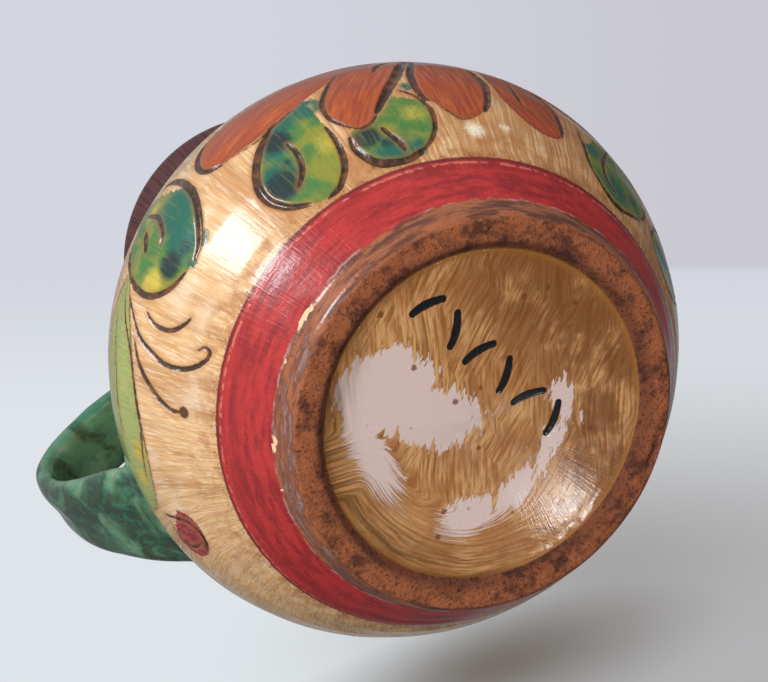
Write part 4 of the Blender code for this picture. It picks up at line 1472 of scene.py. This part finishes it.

# The light
# A window, which shows in the glaze of the belly, wide soft daylight, which doesn't, and a small lamp,
# which shows in the disc. The room darkens away from the window. Straight ahead of the camera, above the
# jug, its walls carry the pale table and wall of the photograph, with a painted shadow of the jug on the
# table and painted shade towards the table's lower right.
WINDOW_DIRECTION = Vector((-0.36, -0.93, 0.03))
SOFT_DIRECTION = Vector((-0.26, -0.54, -0.80))
LAMP_DIRECTION = Vector((0.19, 0.55, -0.81))
TARGET = Vector((0, 0, 0.05))
LIGHT_DISTANCE = 0.9
LIGHTS = (
    # name, direction, sides, power, colour, seen in the glaze
    ("window", WINDOW_DIRECTION, (0.22, 0.32), 2.7, (0.94, 0.97, 1.0), True),
    ("daylight", SOFT_DIRECTION, (1.3, 1.3), 9.0, (1.0, 0.99, 0.97), False),
    ("lamp", LAMP_DIRECTION, (0.022, 0.045), 0.12, (1.0, 1.0, 1.0), True),
)

for name, toward, sides, power, tint, seen in LIGHTS:
    light = bpy.data.lights.new(name, "AREA")
    light.shape = "RECTANGLE"
    light.size, light.size_y = sides
    light.energy = power
    light.color = tint
    placed = bpy.data.objects.new(name, light)
    placed.location = TARGET + toward * LIGHT_DISTANCE
    placed.rotation_euler = toward.to_track_quat("Z", "Y").to_euler()
    placed.visible_glossy = seen
    placed.visible_camera = False
    bpy.context.scene.collection.objects.link(placed)

SKY_STRENGTH = 0.85
SHEEN_STRENGTH = 0.40  # how strong the room shows in the glaze
TABLE_EDGE = 268
WALL_LEFT = paint(211, 214, 223)
WALL_RIGHT = paint(201, 200, 208)
TABLE_LEFT = paint(223, 228, 232)
TABLE_SHADED = paint(178, 177, 179)
PAINTED_SHADOW_COLOUR = paint(118, 112, 106)
ROOM_LIGHT = paint(232, 234, 238)
ROOM_DARK = paint(118, 116, 118)

world = bpy.data.worlds.new("room")
bpy.context.scene.world = world
world.use_nodes = True
b = Wiring(world.node_tree)
background = world.node_tree.nodes["Background"]
direction = b.node("ShaderNodeTexCoord").outputs["Generated"]
ahead = b.vector("DOT_PRODUCT", direction, tuple(-CAMERA_BACK))
screen_x = b.total(b.times(b.math("DIVIDE", b.vector("DOT_PRODUCT", direction, tuple(CAMERA_RIGHT)), ahead),
                           FOCAL_PIXELS), PICTURE_WIDTH / 2)
screen_y = b.math("SUBTRACT", PICTURE_HEIGHT / 2, b.times(
    b.math("DIVIDE", b.vector("DOT_PRODUCT", direction, tuple(CAMERA_UP)), ahead), FOCAL_PIXELS))


def painted_shadow_patch(x, y, long, wide, angle):
    """A painted shadow on the table: a soft-edged ellipse, in the photograph's pixels."""
    turn = math.radians(angle)
    dx, dy = b.math("SUBTRACT", screen_x, x), b.math("SUBTRACT", screen_y, y)
    a = b.math("DIVIDE", b.total(b.times(dx, math.cos(turn)), b.times(dy, math.sin(turn))), long)
    c = b.math("DIVIDE", b.total(b.times(dx, -math.sin(turn)), b.times(dy, math.cos(turn))), wide)
    reach = b.math("SQRT", b.total(b.times(a, a), b.times(c, c)))
    return b.step(reach, 1.0, 0.0)


wall = b.mix(b.step(screen_x, 150, PICTURE_WIDTH), WALL_LEFT, WALL_RIGHT)
# painted shade: the table darkens towards its lower right
table_shade_side = b.times(b.step(screen_x, 330, 640), b.step(screen_y, 300, 560))
table = b.mix(b.step(screen_y, TABLE_EDGE, 420), WALL_LEFT, TABLE_LEFT)
table = b.mix(table_shade_side, table, TABLE_SHADED)
backdrop = b.mix(b.step(screen_y, TABLE_EDGE - 4, TABLE_EDGE + 6), wall, table)
PAINTED_SHADOWS = (
    # painted shadows of the jug on the table: middle x, y, half lengths, turn in degrees, strength
    (520, 600, 330, 130, -14, 0.35),
    (500, 664, 285, 95, -18, 1.0),
)
shadow_patches = [b.times(painted_shadow_patch(*shade[:5]), shade[5]) for shade in PAINTED_SHADOWS]
on_table = b.step(screen_y, 300, 420)
# painted shadow of the jug, darkening the table under it
backdrop = b.mix(b.times(b.math("MAXIMUM", *shadow_patches), on_table), backdrop, PAINTED_SHADOW_COLOUR)
in_picture = b.step(ahead, 0.82, 0.88)
towards_window = b.vector("DOT_PRODUCT", direction, tuple(WINDOW_DIRECTION.normalized()))
room = b.mix(b.step(towards_window, -0.5, 0.8), ROOM_DARK, ROOM_LIGHT)
b.tree.links.new(b.mix(in_picture, room, backdrop), background.inputs["Color"])
ray = b.node("ShaderNodeLightPath").outputs
strength = b.total(SKY_STRENGTH, b.times(ray["Is Camera Ray"], 1 - SKY_STRENGTH),
                   b.times(ray["Is Glossy Ray"], SHEEN_STRENGTH - SKY_STRENGTH))
b.tree.links.new(strength, background.inputs["Strength"])
bpy.context.scene.view_settings.view_transform = "Standard"
